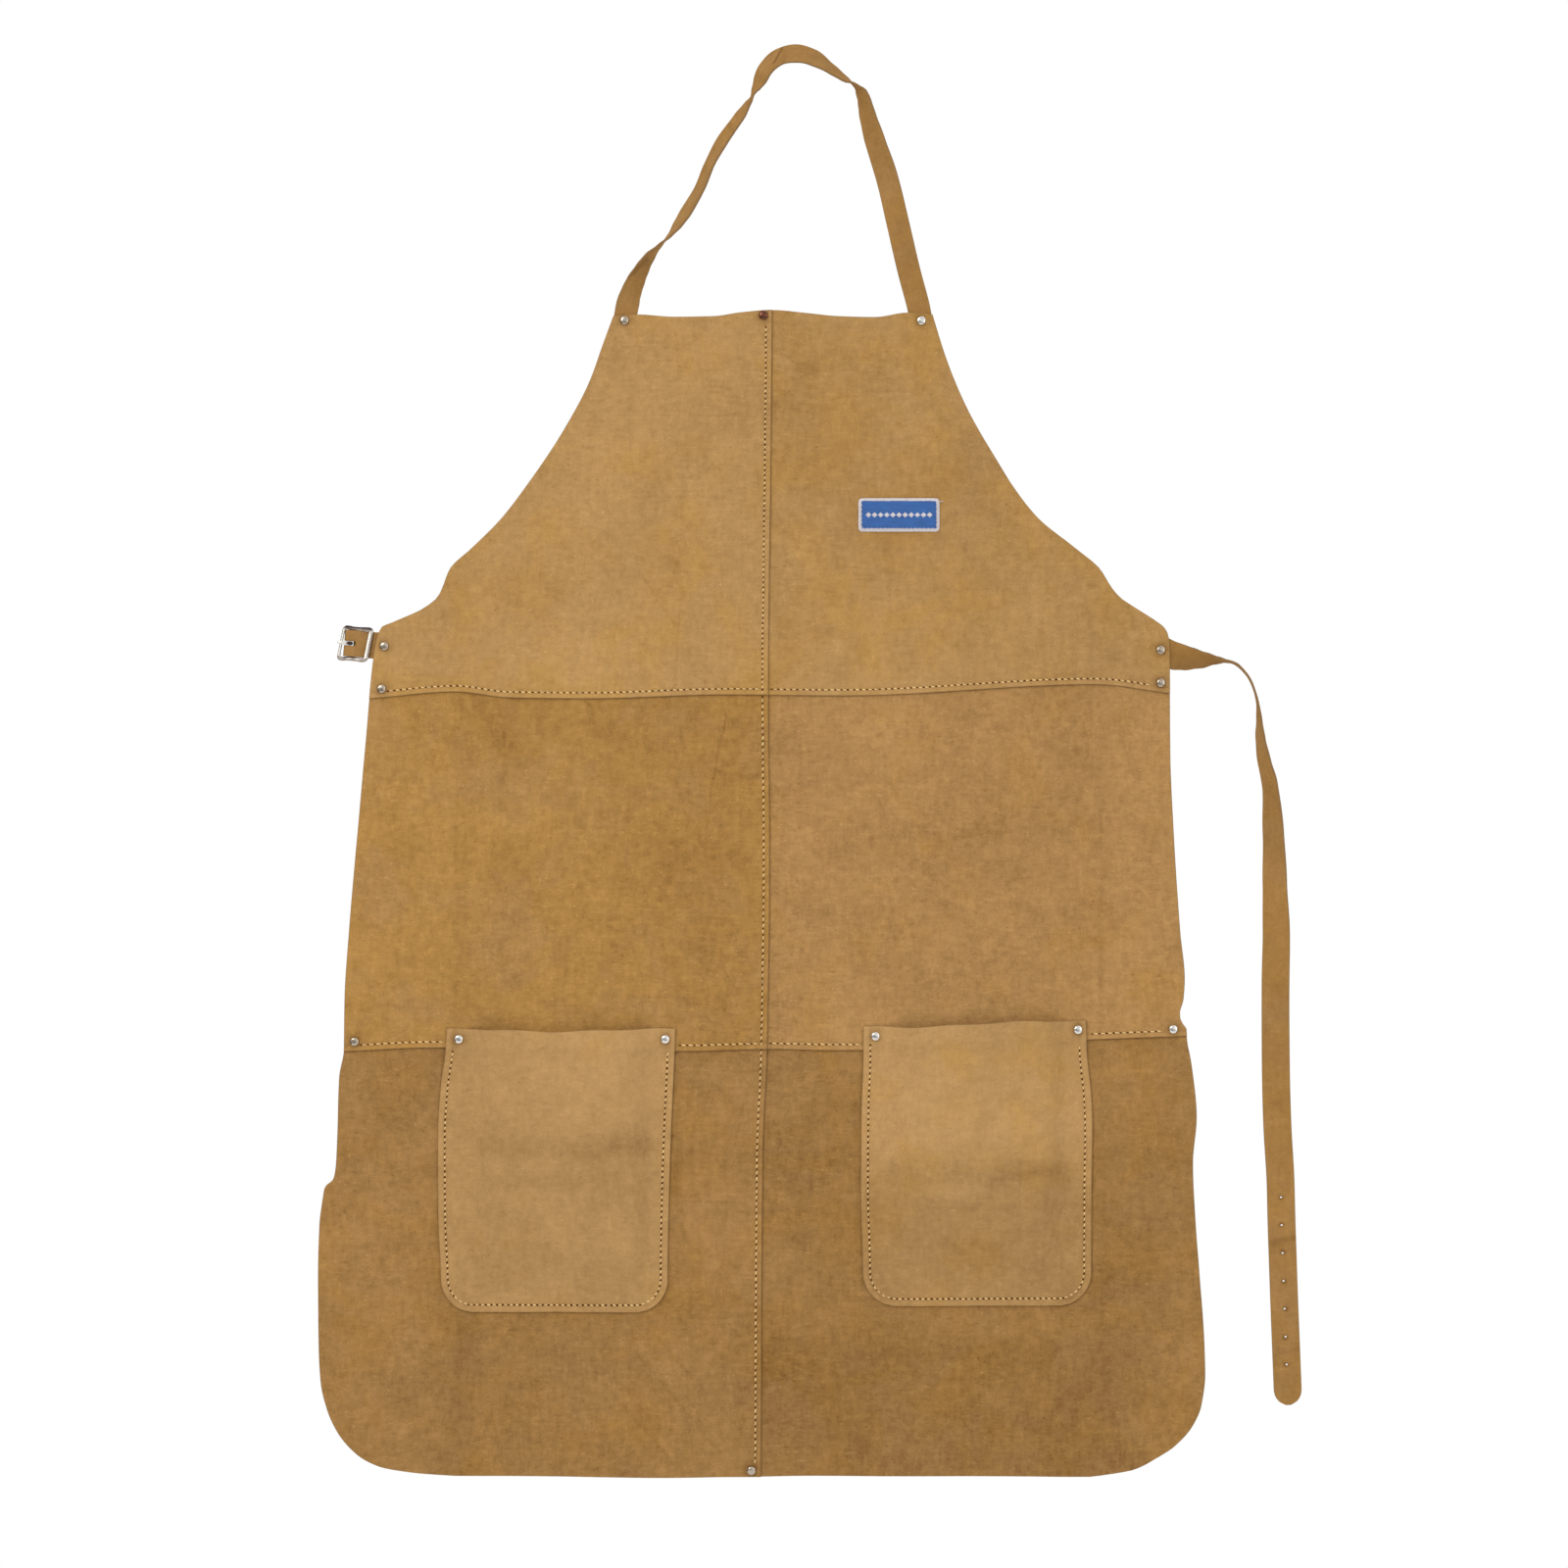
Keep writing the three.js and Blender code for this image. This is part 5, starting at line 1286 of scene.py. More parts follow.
class STAGE_OT_studio(bpy.types.Operator):
    """Sets up the camera, the floor and the soft studio light"""

    bl_idname = "apron.studio"
    bl_label = "Studio"
    bl_options = {"REGISTER", "UNDO"}

    def execute(self, context):
        stage = context.scene.apron_stage
        data = bpy.data.cameras.new("camera")
        data.lens, data.sensor_width, data.clip_end = stage.lens, 36.0, 50.0
        camera = bpy.data.objects.new("camera", data)
        camera.location = (-0.0023, -stage.distance, -0.5652)
        camera.rotation_euler = (math.radians(90), 0, 0)
        context.scene.collection.objects.link(camera)
        context.scene.camera = camera
        context.scene.view_settings.view_transform = "Standard"

        self.add_light("key_light", stage.key_power, 1.6, (-1.5, -2.2, 0.7))
        self.add_light("fill_light", stage.fill_power, 1.8, (1.9, -1.9, -0.2))
        self.add_light("back_light", stage.fill_power, 1.6, (0.9, 2.1, 0.5))
        self.add_world(context.scene)
        self.add_floor(stage)
        return {"FINISHED"}

    def add_light(self, name, power, size, place):
        data = bpy.data.lights.new(name, "AREA")
        data.energy, data.size, data.color = power, size, (1.0, 0.985, 0.96)
        light = bpy.data.objects.new(name, data)
        light.location = place
        light.rotation_euler = (Vector((0, 0, -0.58)) - Vector(place)).to_track_quat("-Z", "Y").to_euler()
        bpy.context.scene.collection.objects.link(light)

    def add_world(self, scene):
        """White to the camera, brighter above than below for its light, and banded in polished metal."""
        world = bpy.data.worlds.new("studio")
        world.use_nodes = True
        nodes, links = world.node_tree.nodes, world.node_tree.links
        coordinate = nodes.new("ShaderNodeTexCoord")
        split = nodes.new("ShaderNodeSeparateXYZ")
        links.new(coordinate.outputs["Generated"], split.inputs["Vector"])
        slant = nodes.new("ShaderNodeMath")
        slant.operation = "MULTIPLY_ADD"
        slant.inputs[1].default_value = 0.7
        links.new(split.outputs["X"], slant.inputs[0])
        links.new(split.outputs["Z"], slant.inputs[2])
        raised = nodes.new("ShaderNodeMath")
        raised.operation = "MULTIPLY_ADD"
        raised.inputs[1].default_value, raised.inputs[2].default_value = 0.5, 0.5
        links.new(slant.outputs[0], raised.inputs[0])
        soft = [(0.0, 0.42), (0.85, 0.92)]
        banded = [
            (0.12, 0.10), (0.30, 0.55), (0.42, 0.16), (0.52, 0.50), (0.60, 1.0), (0.80, 0.30), (0.95, 1.0),
        ]  # fmt: skip
        ramps = []
        for stops, source in ((soft, split.outputs["Z"]), (banded, raised.outputs[0])):
            ramp = nodes.new("ShaderNodeValToRGB")
            while len(ramp.color_ramp.elements) < len(stops):
                ramp.color_ramp.elements.new(0.5)
            for element, (position, level) in zip(ramp.color_ramp.elements, stops):
                element.position, element.color = position, (level, level * 0.995, level * 0.985, 1)
            links.new(source, ramp.inputs["Fac"])
            ramps.append(ramp.outputs["Color"])
        seen = nodes.new("ShaderNodeLightPath")
        white = nodes.new("ShaderNodeRGB")
        white.outputs[0].default_value = (1.0, 1.0, 1.0, 1.0)
        shown = ramps[0]
        for ray, picture in (("Is Glossy Ray", ramps[1]), ("Is Camera Ray", white.outputs[0])):
            mix = nodes.new("ShaderNodeMix")
            mix.data_type = "RGBA"
            links.new(seen.outputs[ray], mix.inputs[0])
            links.new(shown, mix.inputs[6])
            links.new(picture, mix.inputs[7])
            shown = mix.outputs[2]
        links.new(shown, nodes["Background"].inputs["Color"])
        scene.world = world

    def add_floor(self, stage):
        recipe = Recipe("studio_floor", roughness=0.8)
        grain = recipe.noise(recipe.place(), 6, 3)
        floor_colour = tuple(stage.floor_colour)
        colour = recipe.ramp(grain + 0.5, (0.3, times(floor_colour, 0.985)), (0.7, floor_colour))
        reach = 1.15
        depth = -1.46 / MM
        corners = [(-reach, -2.6), (reach, -2.6), (reach, reach), (-reach, reach)]
        points = [(x / MM, y / MM, depth) for x, y in corners]
        floor = make_object("floor", points, [(0, 1, 2, 3)], [recipe.finish(base_color=colour)])


class APRON_OT_bib(ApronOperator):
    """Cuts and hangs the two upper panels, from the bib's top to the first cross seam"""

    bl_idname = "apron.bib"
    bl_label = "Bib panels"

    def build(self, settings):
        spec = {
            "colour": "bib", "top": (TOP_Z, bib_top), "bottom": (SEAM1_Z, upper_seam),
            "levels": [SEAM1_Z, -442, TOP_Z],
            "grooves": [cross_groove(upper_seam, SEAM1_Z)], "rests_on": ["neck_strap_leather"],
        }  # fmt: skip
        panel("upper", "left", spec, {
            "warm": lambda x, z: 0.35 * smooth((-330 - z) / 120) - 0.35,
            "rivets": ["neck_left", "bib_centre", "tab", "seam_upper_left"],
            "tone": lambda x, z: 0.045 * smooth((-400 - z) / 80) * smooth((-50 - x) / 60) + 0.008,
            "marks": [
                ((-84, -420), (-88, -492), 1.2, -0.14), ((-116, -398), (-88, -440), 1.1, -0.10),
                ((-94, -388), (-86, -392), 2.6, -0.16), ((-160, -300), (-153, -302), 2.0, -0.16),
            ],
        })  # fmt: skip
        panel("upper", "right", spec, {
            "warm": lambda x, z: 0.15 - 0.5 * smooth((-330 - z) / 120) * smooth((x - 60) / 120),
            "rivets": ["neck_right", "waist_strap", "seam_upper_right"],
            "tone": lambda x, z: -0.012 + 0 * x,
            "marks": [((60, -240), (64, -262), 1.5, -0.06), ((2, -232), (22, -242), 3.0, -0.10)],
        })  # fmt: skip


class APRON_OT_skirt(ApronOperator):
    """Hangs the two middle panels behind the bib's lap"""

    bl_idname = "apron.skirt"
    bl_label = "Skirt panels"

    def build(self, settings):
        spec = {
            "colour": "skirt", "top": (SEAM1_Z + LAP, upper_seam), "bottom": (SEAM2_Z, lower_seam),
            "levels": [SEAM2_Z], "grooves": [cross_groove(lower_seam, SEAM2_Z)],
            "rests_on": ["bib_panel_left", "bib_panel_right"],
        }  # fmt: skip
        panel("middle", "left", spec, {
            "nap": 1.3, "warm": 0.4,
            "tone": lambda x, z: 0.004 + 0.055 * smooth((-225 - x) / 40),
            "rivets": ["seam_lower_left"],
            # the long line down the left fold is painted fold shade; the others are scars and spots
            "marks": [
                ((-48, -511), (-58, -560), 1.1, -0.20), ((-58, -560), (-62, -596), 1.0, -0.16),
                ((-222, -524), (-222, -534), 1.8, -0.25), ((-158, -500), (-154, -504), 1.6, -0.25),
                ((-260, -500), (-259, -775), 2.4, -0.08), ((-300, -640), (-290, -655), 1.5, -0.12),
                ((-320, -738), (-290, -741), 1.6, -0.10),
            ],
        })  # fmt: skip
        panel("middle", "right", spec, {
            "nap": 1.3, "warm": -0.45,
            "tint": (1.0, 1.0, 1.06),
            "tone": lambda x, z: 0.03 + 0.045 * smooth((x - 225) / 40),
            "rivets": ["seam_lower_right"],
            # the long line down the right fold is painted fold shade; the other is a scar
            "marks": [((120, -700), (132, -704), 1.4, -0.15), ((246, -500), (247, -775), 2.2, -0.07)],
        })  # fmt: skip


class APRON_OT_hem(ApronOperator):
    """Hangs the two lower panels with their rounded corners"""

    bl_idname = "apron.hem"
    bl_label = "Hem panels"

    def build(self, settings):
        near_hem = [HEM_Z + 72 * (1 - math.cos(a)) for a in np.linspace(0, math.pi / 2, 12)]
        spec = {
            "colour": "hem", "top": (SEAM2_Z + LAP, lower_seam), "bottom": (HEM_Z, hem_line),
            "levels": [HEM_Z, *near_hem[3:], -879], "grooves": [],
            "rests_on": ["skirt_panel_left", "skirt_panel_right"],
        }  # fmt: skip
        panel("lower", "left", spec, {
            "nap": 1.4, "warm": -0.1,
            "tone": lambda x, z: (
                0.01 + 0.04 * smooth((-265 - x) / 25) + 0.035 * smooth((x + 90) / 15) * smooth((z + 970) / 30)
            ),
            "rivets": ["hem_centre"],
            # every line here follows a crease or fold of the relief: the dark ones are painted crease shade,
            # the light ones painted highlight on the creases' lit sides
            "marks": [
                ((-300, -806), (-286, -818), 1.4, -0.20), ((-118, -1012), (-52, -1090), 1.5, -0.14),
                ((-113, -1010), (-47, -1087), 1.3, 0.08), ((-96, -1006), (-30, -1080), 1.3, -0.12),
                ((-140, -1040), (-84, -1104), 1.3, -0.12), ((-136, -1038), (-80, -1102), 1.3, 0.08),
                ((-259, -770), (-258, -1088), 2.4, -0.08),
            ],
        })  # fmt: skip
        panel("lower", "right", spec, {
            "nap": 1.4,
            "tone": lambda x, z: 0.008 - 0.06 * smooth((-985 - z) / 30) * smooth((310 - x) / 60),
            # the long line down the right fold is painted fold shade; the other is a dark mark on the suede
            "marks": [((247, -770), (248, -1080), 2.2, -0.06), ((20, -870), (14, -900), 2.0, -0.10)],
        })  # fmt: skip


class APRON_OT_pockets(ApronOperator):
    """Sews on the two patch pockets, standing slightly open"""

    bl_idname = "apron.pockets"
    bl_label = "Pockets"

    def build(self, settings):
        for side in POCKETS:
            pocket(side)


class APRON_OT_neck_strap(ApronOperator):
    """Runs the neck strap up to its hanging point and back down"""

    bl_idname = "apron.neck_strap"
    bl_label = "Neck strap"

    def build(self, settings):
        path = strap_path(neck_stops(), 1.5)
        creases = [
            (190, 2.0, -0.10), (196, 3, 0.05), (236, 2.5, -0.08), (150, 4, -0.03), (262, 2, -0.06),
            (330, 5, 0.02),
        ]  # fmt: skip
        parts = strip(path, NECK_WIDTH, STRAP, sway=lambda s, w: 0.25 * ripples(s, w, 41, 55))
        strap_object(
            "neck_strap_leather", "neck_strap", "root", path, parts, creases, 42,
            (
                ((-2, 16), (-10.5, 0), 0.9, -0.6), ((-5, 15), (-13.5, 0), 1.6, 0.14),
                ((46, -4), (58, -18), 2.4, -0.28), ((-110, -154), (-125, -167), 1.8, -0.4),
                ((-20, -22), (-30, -32), 2.0, -0.25),
            ),
        )  # fmt: skip


class APRON_OT_waist_strap(ApronOperator):
    """Hangs the waist strap with its row of punched holes"""

    bl_idname = "apron.waist_strap"
    bl_label = "Waist strap"

    def build(self, settings):
        path = strap_path(waist_stops(), 1.5)
        length = path["length"]
        width, tip = WAIST_WIDTH, 13.0
        punched = [length - 32 - 22 * i for i in range(7)]
        holes = [(place, PUNCHED_RADIUS) for place in punched] + [(13.1, RIVET_HOLE_RADIUS)]

        def half_width(s):
            past = np.clip((s - (length - tip)) / tip, 0, 0.985)
            return width / 2 * np.sqrt(1 - past**2.2)

        creases = [
            (length - 130, 2.4, -0.12), (length - 42, 2.0, -0.08), (length - 30, 2.2, 0.05),
            (length - 238, 2.5, -0.06), (length - 223, 2.0, 0.04), (length - 330, 4, -0.03),
            (60, 5, -0.06), (92, 20, -0.12),
        ]  # fmt: skip
        parts = strip(path, width, STRAP, holes, half_width, sway=lambda s, w: 0.3 * ripples(s, w, 43, 70))
        spots = [path["at"][np.abs(path["s"] - place).argmin()] for place in punched]
        # painted shade in and round each punched hole
        marks = tuple(((x - 0.2, z), (x + 0.2, z), 2.0, -0.7) for x, _, z in spots)
        strap_object(
            "waist_strap_leather", "waist_strap", "waist_strap", path, parts, creases, 44,
            marks,
        )  # fmt: skip


class APRON_OT_buckle_tab(ApronOperator):
    """Folds the buckle's tab round its centre bar"""

    bl_idname = "apron.buckle_tab"
    bl_label = "Buckle tab"

    def build(self, settings):
        fold_radius = CENTRE_BAR_RADIUS + GAP + STRAP / 2
        near = STEP + STRAP / 2
        under = SIDE_BAR_Y + 1.2 + GAP + STRAP / 2
        shift = STRAP + 0.8
        front = [
            (9, near), (-3.5, near), (RIGHT_BAR + 2.6, under - 0.3), (RIGHT_BAR, under),
            (RIGHT_BAR - 3.2, under - 0.5), (CENTRE_BAR + 3.5, BAR_Y - fold_radius + 0.2),
        ]  # fmt: skip
        turn = [
            (CENTRE_BAR - 1.5 + fold_radius * math.cos(a), BAR_Y + fold_radius * math.sin(a))
            for a in np.linspace(-math.pi / 2, -1.5 * math.pi, 9)
        ]
        back = [
            (CENTRE_BAR + 6, BAR_Y + fold_radius + 0.6), (RIGHT_BAR, under + shift),
            (RIGHT_BAR + 3.2, under + shift - 0.2), (-3.5, near + shift), (9, near + shift),
        ]  # fmt: skip
        line = np.array([(u, y, 0.0, 0.0) for u, y in front + turn + back])
        path = strap_path(line, 0.6)
        path["wide"] = np.tile((0.0, 0.0, 1.0), (len(path["s"]), 1))
        path["normal"] = np.cross(path["along"], path["wide"])
        u = path["at"][:, 0]
        front_run, back_run = path["at"][:, 1] < BAR_Y, path["at"][:, 1] >= BAR_Y
        slot_start = path["s"][front_run & (u < CENTRE_BAR + 5.0)].min()
        slot_end = path["s"][back_run & (u < CENTRE_BAR + 2.7)].max()
        slot_cut = (float(slot_start), float(slot_end), 3.4)
        ahead, behind = u[:-1] * u[1:] <= 0, path["s"][:-1]
        holes = [(float(place), RIVET_HOLE_RADIUS) for place in behind[ahead]]
        colour = settings.strap_colour
        obj = leather_object(
            "buckle_tab_leather", strip(path, TAB_WIDTH, STRAP, holes, slot_cut=slot_cut, spacing=1.3),
            [finish(suede, "strap_suede", colour, nap=0.7), finish(cut_leather, "strap_cut_edge", colour)],
            place=lambda points: from_tab(on_path(path, points, STRAP)),
            tone=creased([(path["length"] / 2, 6, 0.05), (14, 3, -0.05)], 46), warm=0.1,
        )  # fmt: skip
        settle(obj, "buckle_tab", "strap_leather", "buckle_tab")


class APRON_OT_buckle(ApronOperator):
    """Casts the buckle's bowed frame and its centre bar, and bends the prong round the bar"""

    bl_idname = "apron.buckle"
    bl_label = "Buckle"

    def build(self, settings):
        plate = finish(nickel, "nickel_plate", settings.plate_colour)
        # along, up, depth, half width in the frame's plane, half thickness
        half = [
            (LEFT_BAR, 0, SIDE_BAR_Y, 1.1, 1.1), (LEFT_BAR, 7, SIDE_BAR_Y, 1.1, 1.1),
            (LEFT_BAR + 0.3, 10.9, SIDE_BAR_Y, 1.3, 1.2),
            (LEFT_BAR + 1.7, RAIL_W + 0.2, SIDE_BAR_Y + 0.2, 1.5, 1.4),
            (LEFT_BAR + 4.2, RAIL_W + 0.1, SIDE_BAR_Y + 1.1, 1.6, 1.8),
            (CENTRE_BAR, RAIL_W - 0.2, BAR_Y, 1.6, 2.1),
            (CENTRE_BAR + 5, RAIL_W - 0.3, SIDE_BAR_Y + 1.0, 1.6, 1.7),
            (RIGHT_BAR - 2.6, RAIL_W + 0.1, SIDE_BAR_Y, 1.6, 1.3),
            (RIGHT_BAR - 0.6, RAIL_W - 0.9, SIDE_BAR_Y, 1.9, 1.25), (RIGHT_BAR, 8.6, SIDE_BAR_Y, 2.0, 1.2),
            (RIGHT_BAR, 0, SIDE_BAR_Y, 2.0, 1.2),
        ]  # fmt: skip
        mirrored = [(u, -w, y, a, b) for u, w, y, a, b in half[-2:0:-1]]
        loop = closed_curve(half + mirrored, 8 * (len(half) + len(mirrored)))
        ahead = np.roll(loop[:, :2], -1, 0) - np.roll(loop[:, :2], 1, 0)
        ahead /= np.linalg.norm(ahead, axis=1)[:, None]
        spots = np.stack([loop[:, 0], loop[:, 2], loop[:, 1]], 1)
        outward = np.stack([-ahead[:, 1], 0 * ahead[:, 0], ahead[:, 0]], 1) * loop[:, 3:4]
        depth = np.tile((0.0, 1.0, 0.0), (len(loop), 1)) * loop[:, 4:5]
        sides = 18
        verts, faces = swept(spots, outward, depth, closed=True, sides=sides)
        verts = np.array(verts)
        lit = self.frame_tones(verts, np.repeat(loop, sides, 0))
        verts[:, 0] += 0.11 * verts[:, 2]
        verts[:, 2] -= 0.2
        cast = finish(painted_light_cast, "buckle_cast", settings.plate_colour)
        obj = make_object("buckle_frame_cast", from_tab(verts), faces, [cast], fields={"tone": lit})
        settle(obj, "buckle_frame", "buckle_steel", "buckle_frame")

        tilt_axis = (math.sin(TAB_TILT), 0.0, math.cos(TAB_TILT))
        centre = from_tab([(CENTRE_BAR, BAR_Y, 0.0)])[0]
        shaft = [(CENTRE_BAR_RADIUS, k) for k in (-13.4, -6, 0, 6, 13.4)]
        profile = [(0, -13.8), (0.7, -13.8), *shaft, (0.7, 13.8), (0, 13.8)]
        bar = turned("buckle_bar_pin", profile, centre, tilt_axis, plate, 24)
        settle(bar, "buckle_frame", "buckle_steel", "buckle_centre_bar")

        # u, depth, half width, half thickness from the eye to the tip
        spine = np.array([
            (CENTRE_BAR + 0.2, BAR_Y - 1.85, 1.15, 0.5), (CENTRE_BAR - 1.6, BAR_Y - 2.5, 1.2, 0.62),
            (CENTRE_BAR - 3.4, 1.5, 1.25, 0.72), (CENTRE_BAR - 6, 1.2, 1.25, 0.74),
            (LEFT_BAR, 1.12, 1.15, 0.72), (LEFT_BAR - 1.6, 1.2, 0.95, 0.64),
            (LEFT_BAR - 2.6, 1.45, 0.6, 0.5), (LEFT_BAR - 3.0, 1.7, 0.25, 0.25),
        ])  # fmt: skip
        t = np.linspace(0, len(spine) - 1, 60)
        spine = np.stack([curve(*enumerate(spine[:, k]))(t) for k in range(4)], 1)
        slope = np.gradient(spine[:, :2], axis=0)
        slope /= np.linalg.norm(slope, axis=1)[:, None]
        spots = np.stack([spine[:, 0], spine[:, 1], 0 * t], 1)
        wide = np.stack([0 * t, 0 * t, spine[:, 2]], 1)
        thick = np.stack([-slope[:, 1], slope[:, 0], 0 * t], 1) * spine[:, 3:4]
        tongue = swept(spots, wide, thick, sides=16)
        eye_angles = np.linspace(0, math.tau, 36, endpoint=False)
        radius, wall = 1.85, 0.54
        spots = [(CENTRE_BAR + radius * math.cos(a), BAR_Y + radius * math.sin(a), 0.0) for a in eye_angles]
        outs = [np.array((math.cos(a), math.sin(a), 0.0)) * wall for a in eye_angles]
        wides = [np.array((0.0, 0.0, -1.2))] * len(spots)
        eye = swept(np.array(spots), wides, outs, closed=True, sides=12)
        points, faces, slots, _ = gather([(*tongue, 0, 0), (*eye, 0, 0)])
        lit = 1.0 - smooth((np.array(points)[:, 0] - CENTRE_BAR + 3.4) / 2.2)
        prong = make_object("buckle_prong_bent", from_tab(points), faces, [cast], slots, {"tone": lit})
        settle(prong, "buckle_prong", "buckle_steel", "buckle_prong")

    def frame_tones(self, verts, loop):
        """Painted light and shade on the bowed frame: ivory faces lit towards the front, painted highlights
        down the side bars, dark outer edges and the top rail's upper edge in painted shade, a dull lower
        rail.
        """
        u, depth, w = verts.T
        face = np.clip((loop[:, 2] - depth) / loop[:, 4], -1, 1)
        tone = 0.15 + 0.75 * smooth(face * 1.2)
        on_right = smooth((u - (RIGHT_BAR - 3.5)) / 1.0) * smooth((10.5 - np.abs(w)) / 2)
        tone = lerp(tone, lerp(1.0, 0.42, smooth((u - RIGHT_BAR) / 0.8)), on_right)
        on_top = smooth((w - 10.5) / 0.8)
        tone = lerp(tone, lerp(0.55, 0.0, smooth((w - RAIL_W + 0.9) / 1.2)), on_top)
        on_bottom = smooth((-w - 10.3) / 0.8)
        tone = lerp(tone, 0.52 + 0.12 * np.sin(u * 0.9) - 0.5 * smooth((w + 11.4) / 0.5), on_bottom)
        on_left = smooth((LEFT_BAR + 1.6 - u) / 0.6) * smooth((10.3 - np.abs(w)) / 1.5)
        return lerp(tone, 1.1 * smooth(1.35 - np.abs(u - LEFT_BAR) / 0.75), on_left)


class APRON_OT_rivets(ApronOperator):
    """Sets a domed rivet and its cap at every strap, seam and pocket corner"""

    bl_idname = "apron.rivets"
    bl_label = "Rivets"

    def build(self, settings):
        # the rivets share one nickel plate: the bright copy paints a bright reflection, the copper-toned copy
        # on the bib's centre a dark reflection, and the dull copy the plain look of the rest
        bright = finish(nickel, "rivet_bright", times(settings.plate_colour, 1.25), wear=1.0)
        dull = finish(nickel, "rivet_dull", srgb(204, 190, 172), wear=2.4)
        dark_reflection_plate = finish(nickel, "rivet_copper", srgb(128, 82, 66), wear=2.4)
        bright_reflection_places = ("neck_right", "seam_lower_right")
        bright_reflection_rivets = [place for place in RIVETS if place.startswith("pocket") or place in bright_reflection_places]
        looks = {place: bright for place in bright_reflection_rivets} | {"bib_centre": dark_reflection_plate}
        for place, spot in RIVET_SPOTS.items():
            plate = looks.get(place, dull)
            front, end = low(f"rivet_{place}")[1], high(f"rivet_{place}")[1]
            head_back = front + 1.7
            profile = [
                (0, front + 0.02), (0.9, front + 0.03), (1.7, front + 0.09), (2.35, front + 0.2),
                (2.8, front + 0.36), (3.15, front + 0.62), (3.38, front + 0.95), (3.48, front + 1.3),
                (3.46, front + 1.55), (3.4, head_back), (1.6, head_back), (1.6, end), (0, end),
            ]  # fmt: skip
            head = turned(f"rivet_head_{place}", profile, (spot[0], 0, spot[2]), (0, 1, 0), plate)
            settle(head, "root", "rivet_steel", f"rivet_{place}")

            start, back = low(f"cap_{place}")[1], high(f"cap_{place}")[1]
            profile = [
                (0, start + 1.3), (1.75, start + 1.3), (1.8, start), (3.85, start), (4.0, start + 0.25),
                (3.95, start + 0.7), (3.4, start + 1.25), (2.9, back - 0.45), (2.5, back - 0.1), (2.0, back),
                (1.2, back - 0.12), (0, back - 0.18),
            ]  # fmt: skip
            cap = turned(f"rivet_cap_{place}", profile, (spot[0], 0, spot[2]), (0, 1, 0), plate)
            settle(cap, "root", "rivet_steel", f"cap_{place}")


class APRON_OT_stitching(ApronOperator):
    """Sews the seams and the pockets with single rows of stitches"""

    bl_idname = "apron.stitching"
    bl_label = "Stitching"

    def build(self, settings):
        for index, (row, top, bottom) in enumerate([
            ("upper", TOP_Z - 9.8, SEAM1_Z + 1), ("middle", SEAM1_Z - 1, SEAM2_Z + 1),
            ("lower", SEAM2_Z - 1, HEM_Z + 9),
        ]):  # fmt: skip
            layer = low(f"panel_{row}_left")[1]
            z = np.linspace(top, bottom, 60)
            path = np.stack([centre_seam(z) - STITCH_INSET, z], 1)
            depth = lambda x, z, layer=layer: layer + surface(x, z) + centre_groove()(x, z)
            spread = {"upper": 0.89, "middle": 1.1, "lower": 1.1}[row]
            stitch_run(f"stitches_centre_{row}", f"thread_centre_{row}", path, depth, 50 + index, spread)
        for index, (part, waver, level, panel_node) in enumerate([
            ("waist_left", upper_seam, SEAM1_Z, "panel_upper_left"),
            ("waist_right", upper_seam, SEAM1_Z, "panel_upper_right"),
            ("skirt_left", lower_seam, SEAM2_Z, "panel_middle_left"),
            ("skirt_centre_left", lower_seam, SEAM2_Z, "panel_middle_left"),
            ("skirt_centre_right", lower_seam, SEAM2_Z, "panel_middle_right"),
            ("skirt_right", lower_seam, SEAM2_Z, "panel_middle_right"),
        ]):  # fmt: skip
            node = f"thread_{part}"
            layer = low(panel_node)[1]
            start, end = low(node)[0], high(node)[0]
            if part.endswith("left") and part != "skirt_left":
                end = centre_seam(level) - STITCH_INSET - 2
            if part in ("waist_left", "skirt_left"):
                start = start - 3
            if part in ("waist_right", "skirt_centre_right"):
                start = centre_seam(level) + 3
            x = np.linspace(start, end, 80)
            path = np.stack([x, level + waver(x) + STITCH_INSET], 1)
            depth = lambda x, z, layer=layer, at=cross_groove(waver, level): layer + surface(x, z) + at(x, z)
            stitch_run(f"stitches_{part}", node, path, depth, 60 + index, 1.1 if "waist" in part else 1.2)
        for index, (side, (centre, _)) in enumerate(POCKETS.items()):
            inset = POCKET_STITCH_INSET
            top = seam2_level(np.array(centre)) - 2
            bottom = seam2_level(np.array(centre)) + POCKET_RISE - POCKET_DEPTH
            climb = np.linspace(POCKET_DEPTH - POCKET_RISE - 2, inset, 90)
            steps = np.concatenate([climb[climb > POCKET_CORNER], POCKET_CORNER - (POCKET_CORNER - inset)
                                    * np.sin(np.linspace(0, math.pi / 2, 16))])
            left = [(float(pocket_side(side, h, -1, inset)), bottom + h) for h in steps]
            right = [(float(pocket_side(side, h, 1, inset)), bottom + h) for h in steps[::-1]]
            depth = lambda x, z, side=side: pocket_front(side, x, z) + surface(x, z) + 0.3
            stitch_run(f"stitches_pocket_{side}", f"thread_pocket_{side}", left + right, depth, 70 + index)


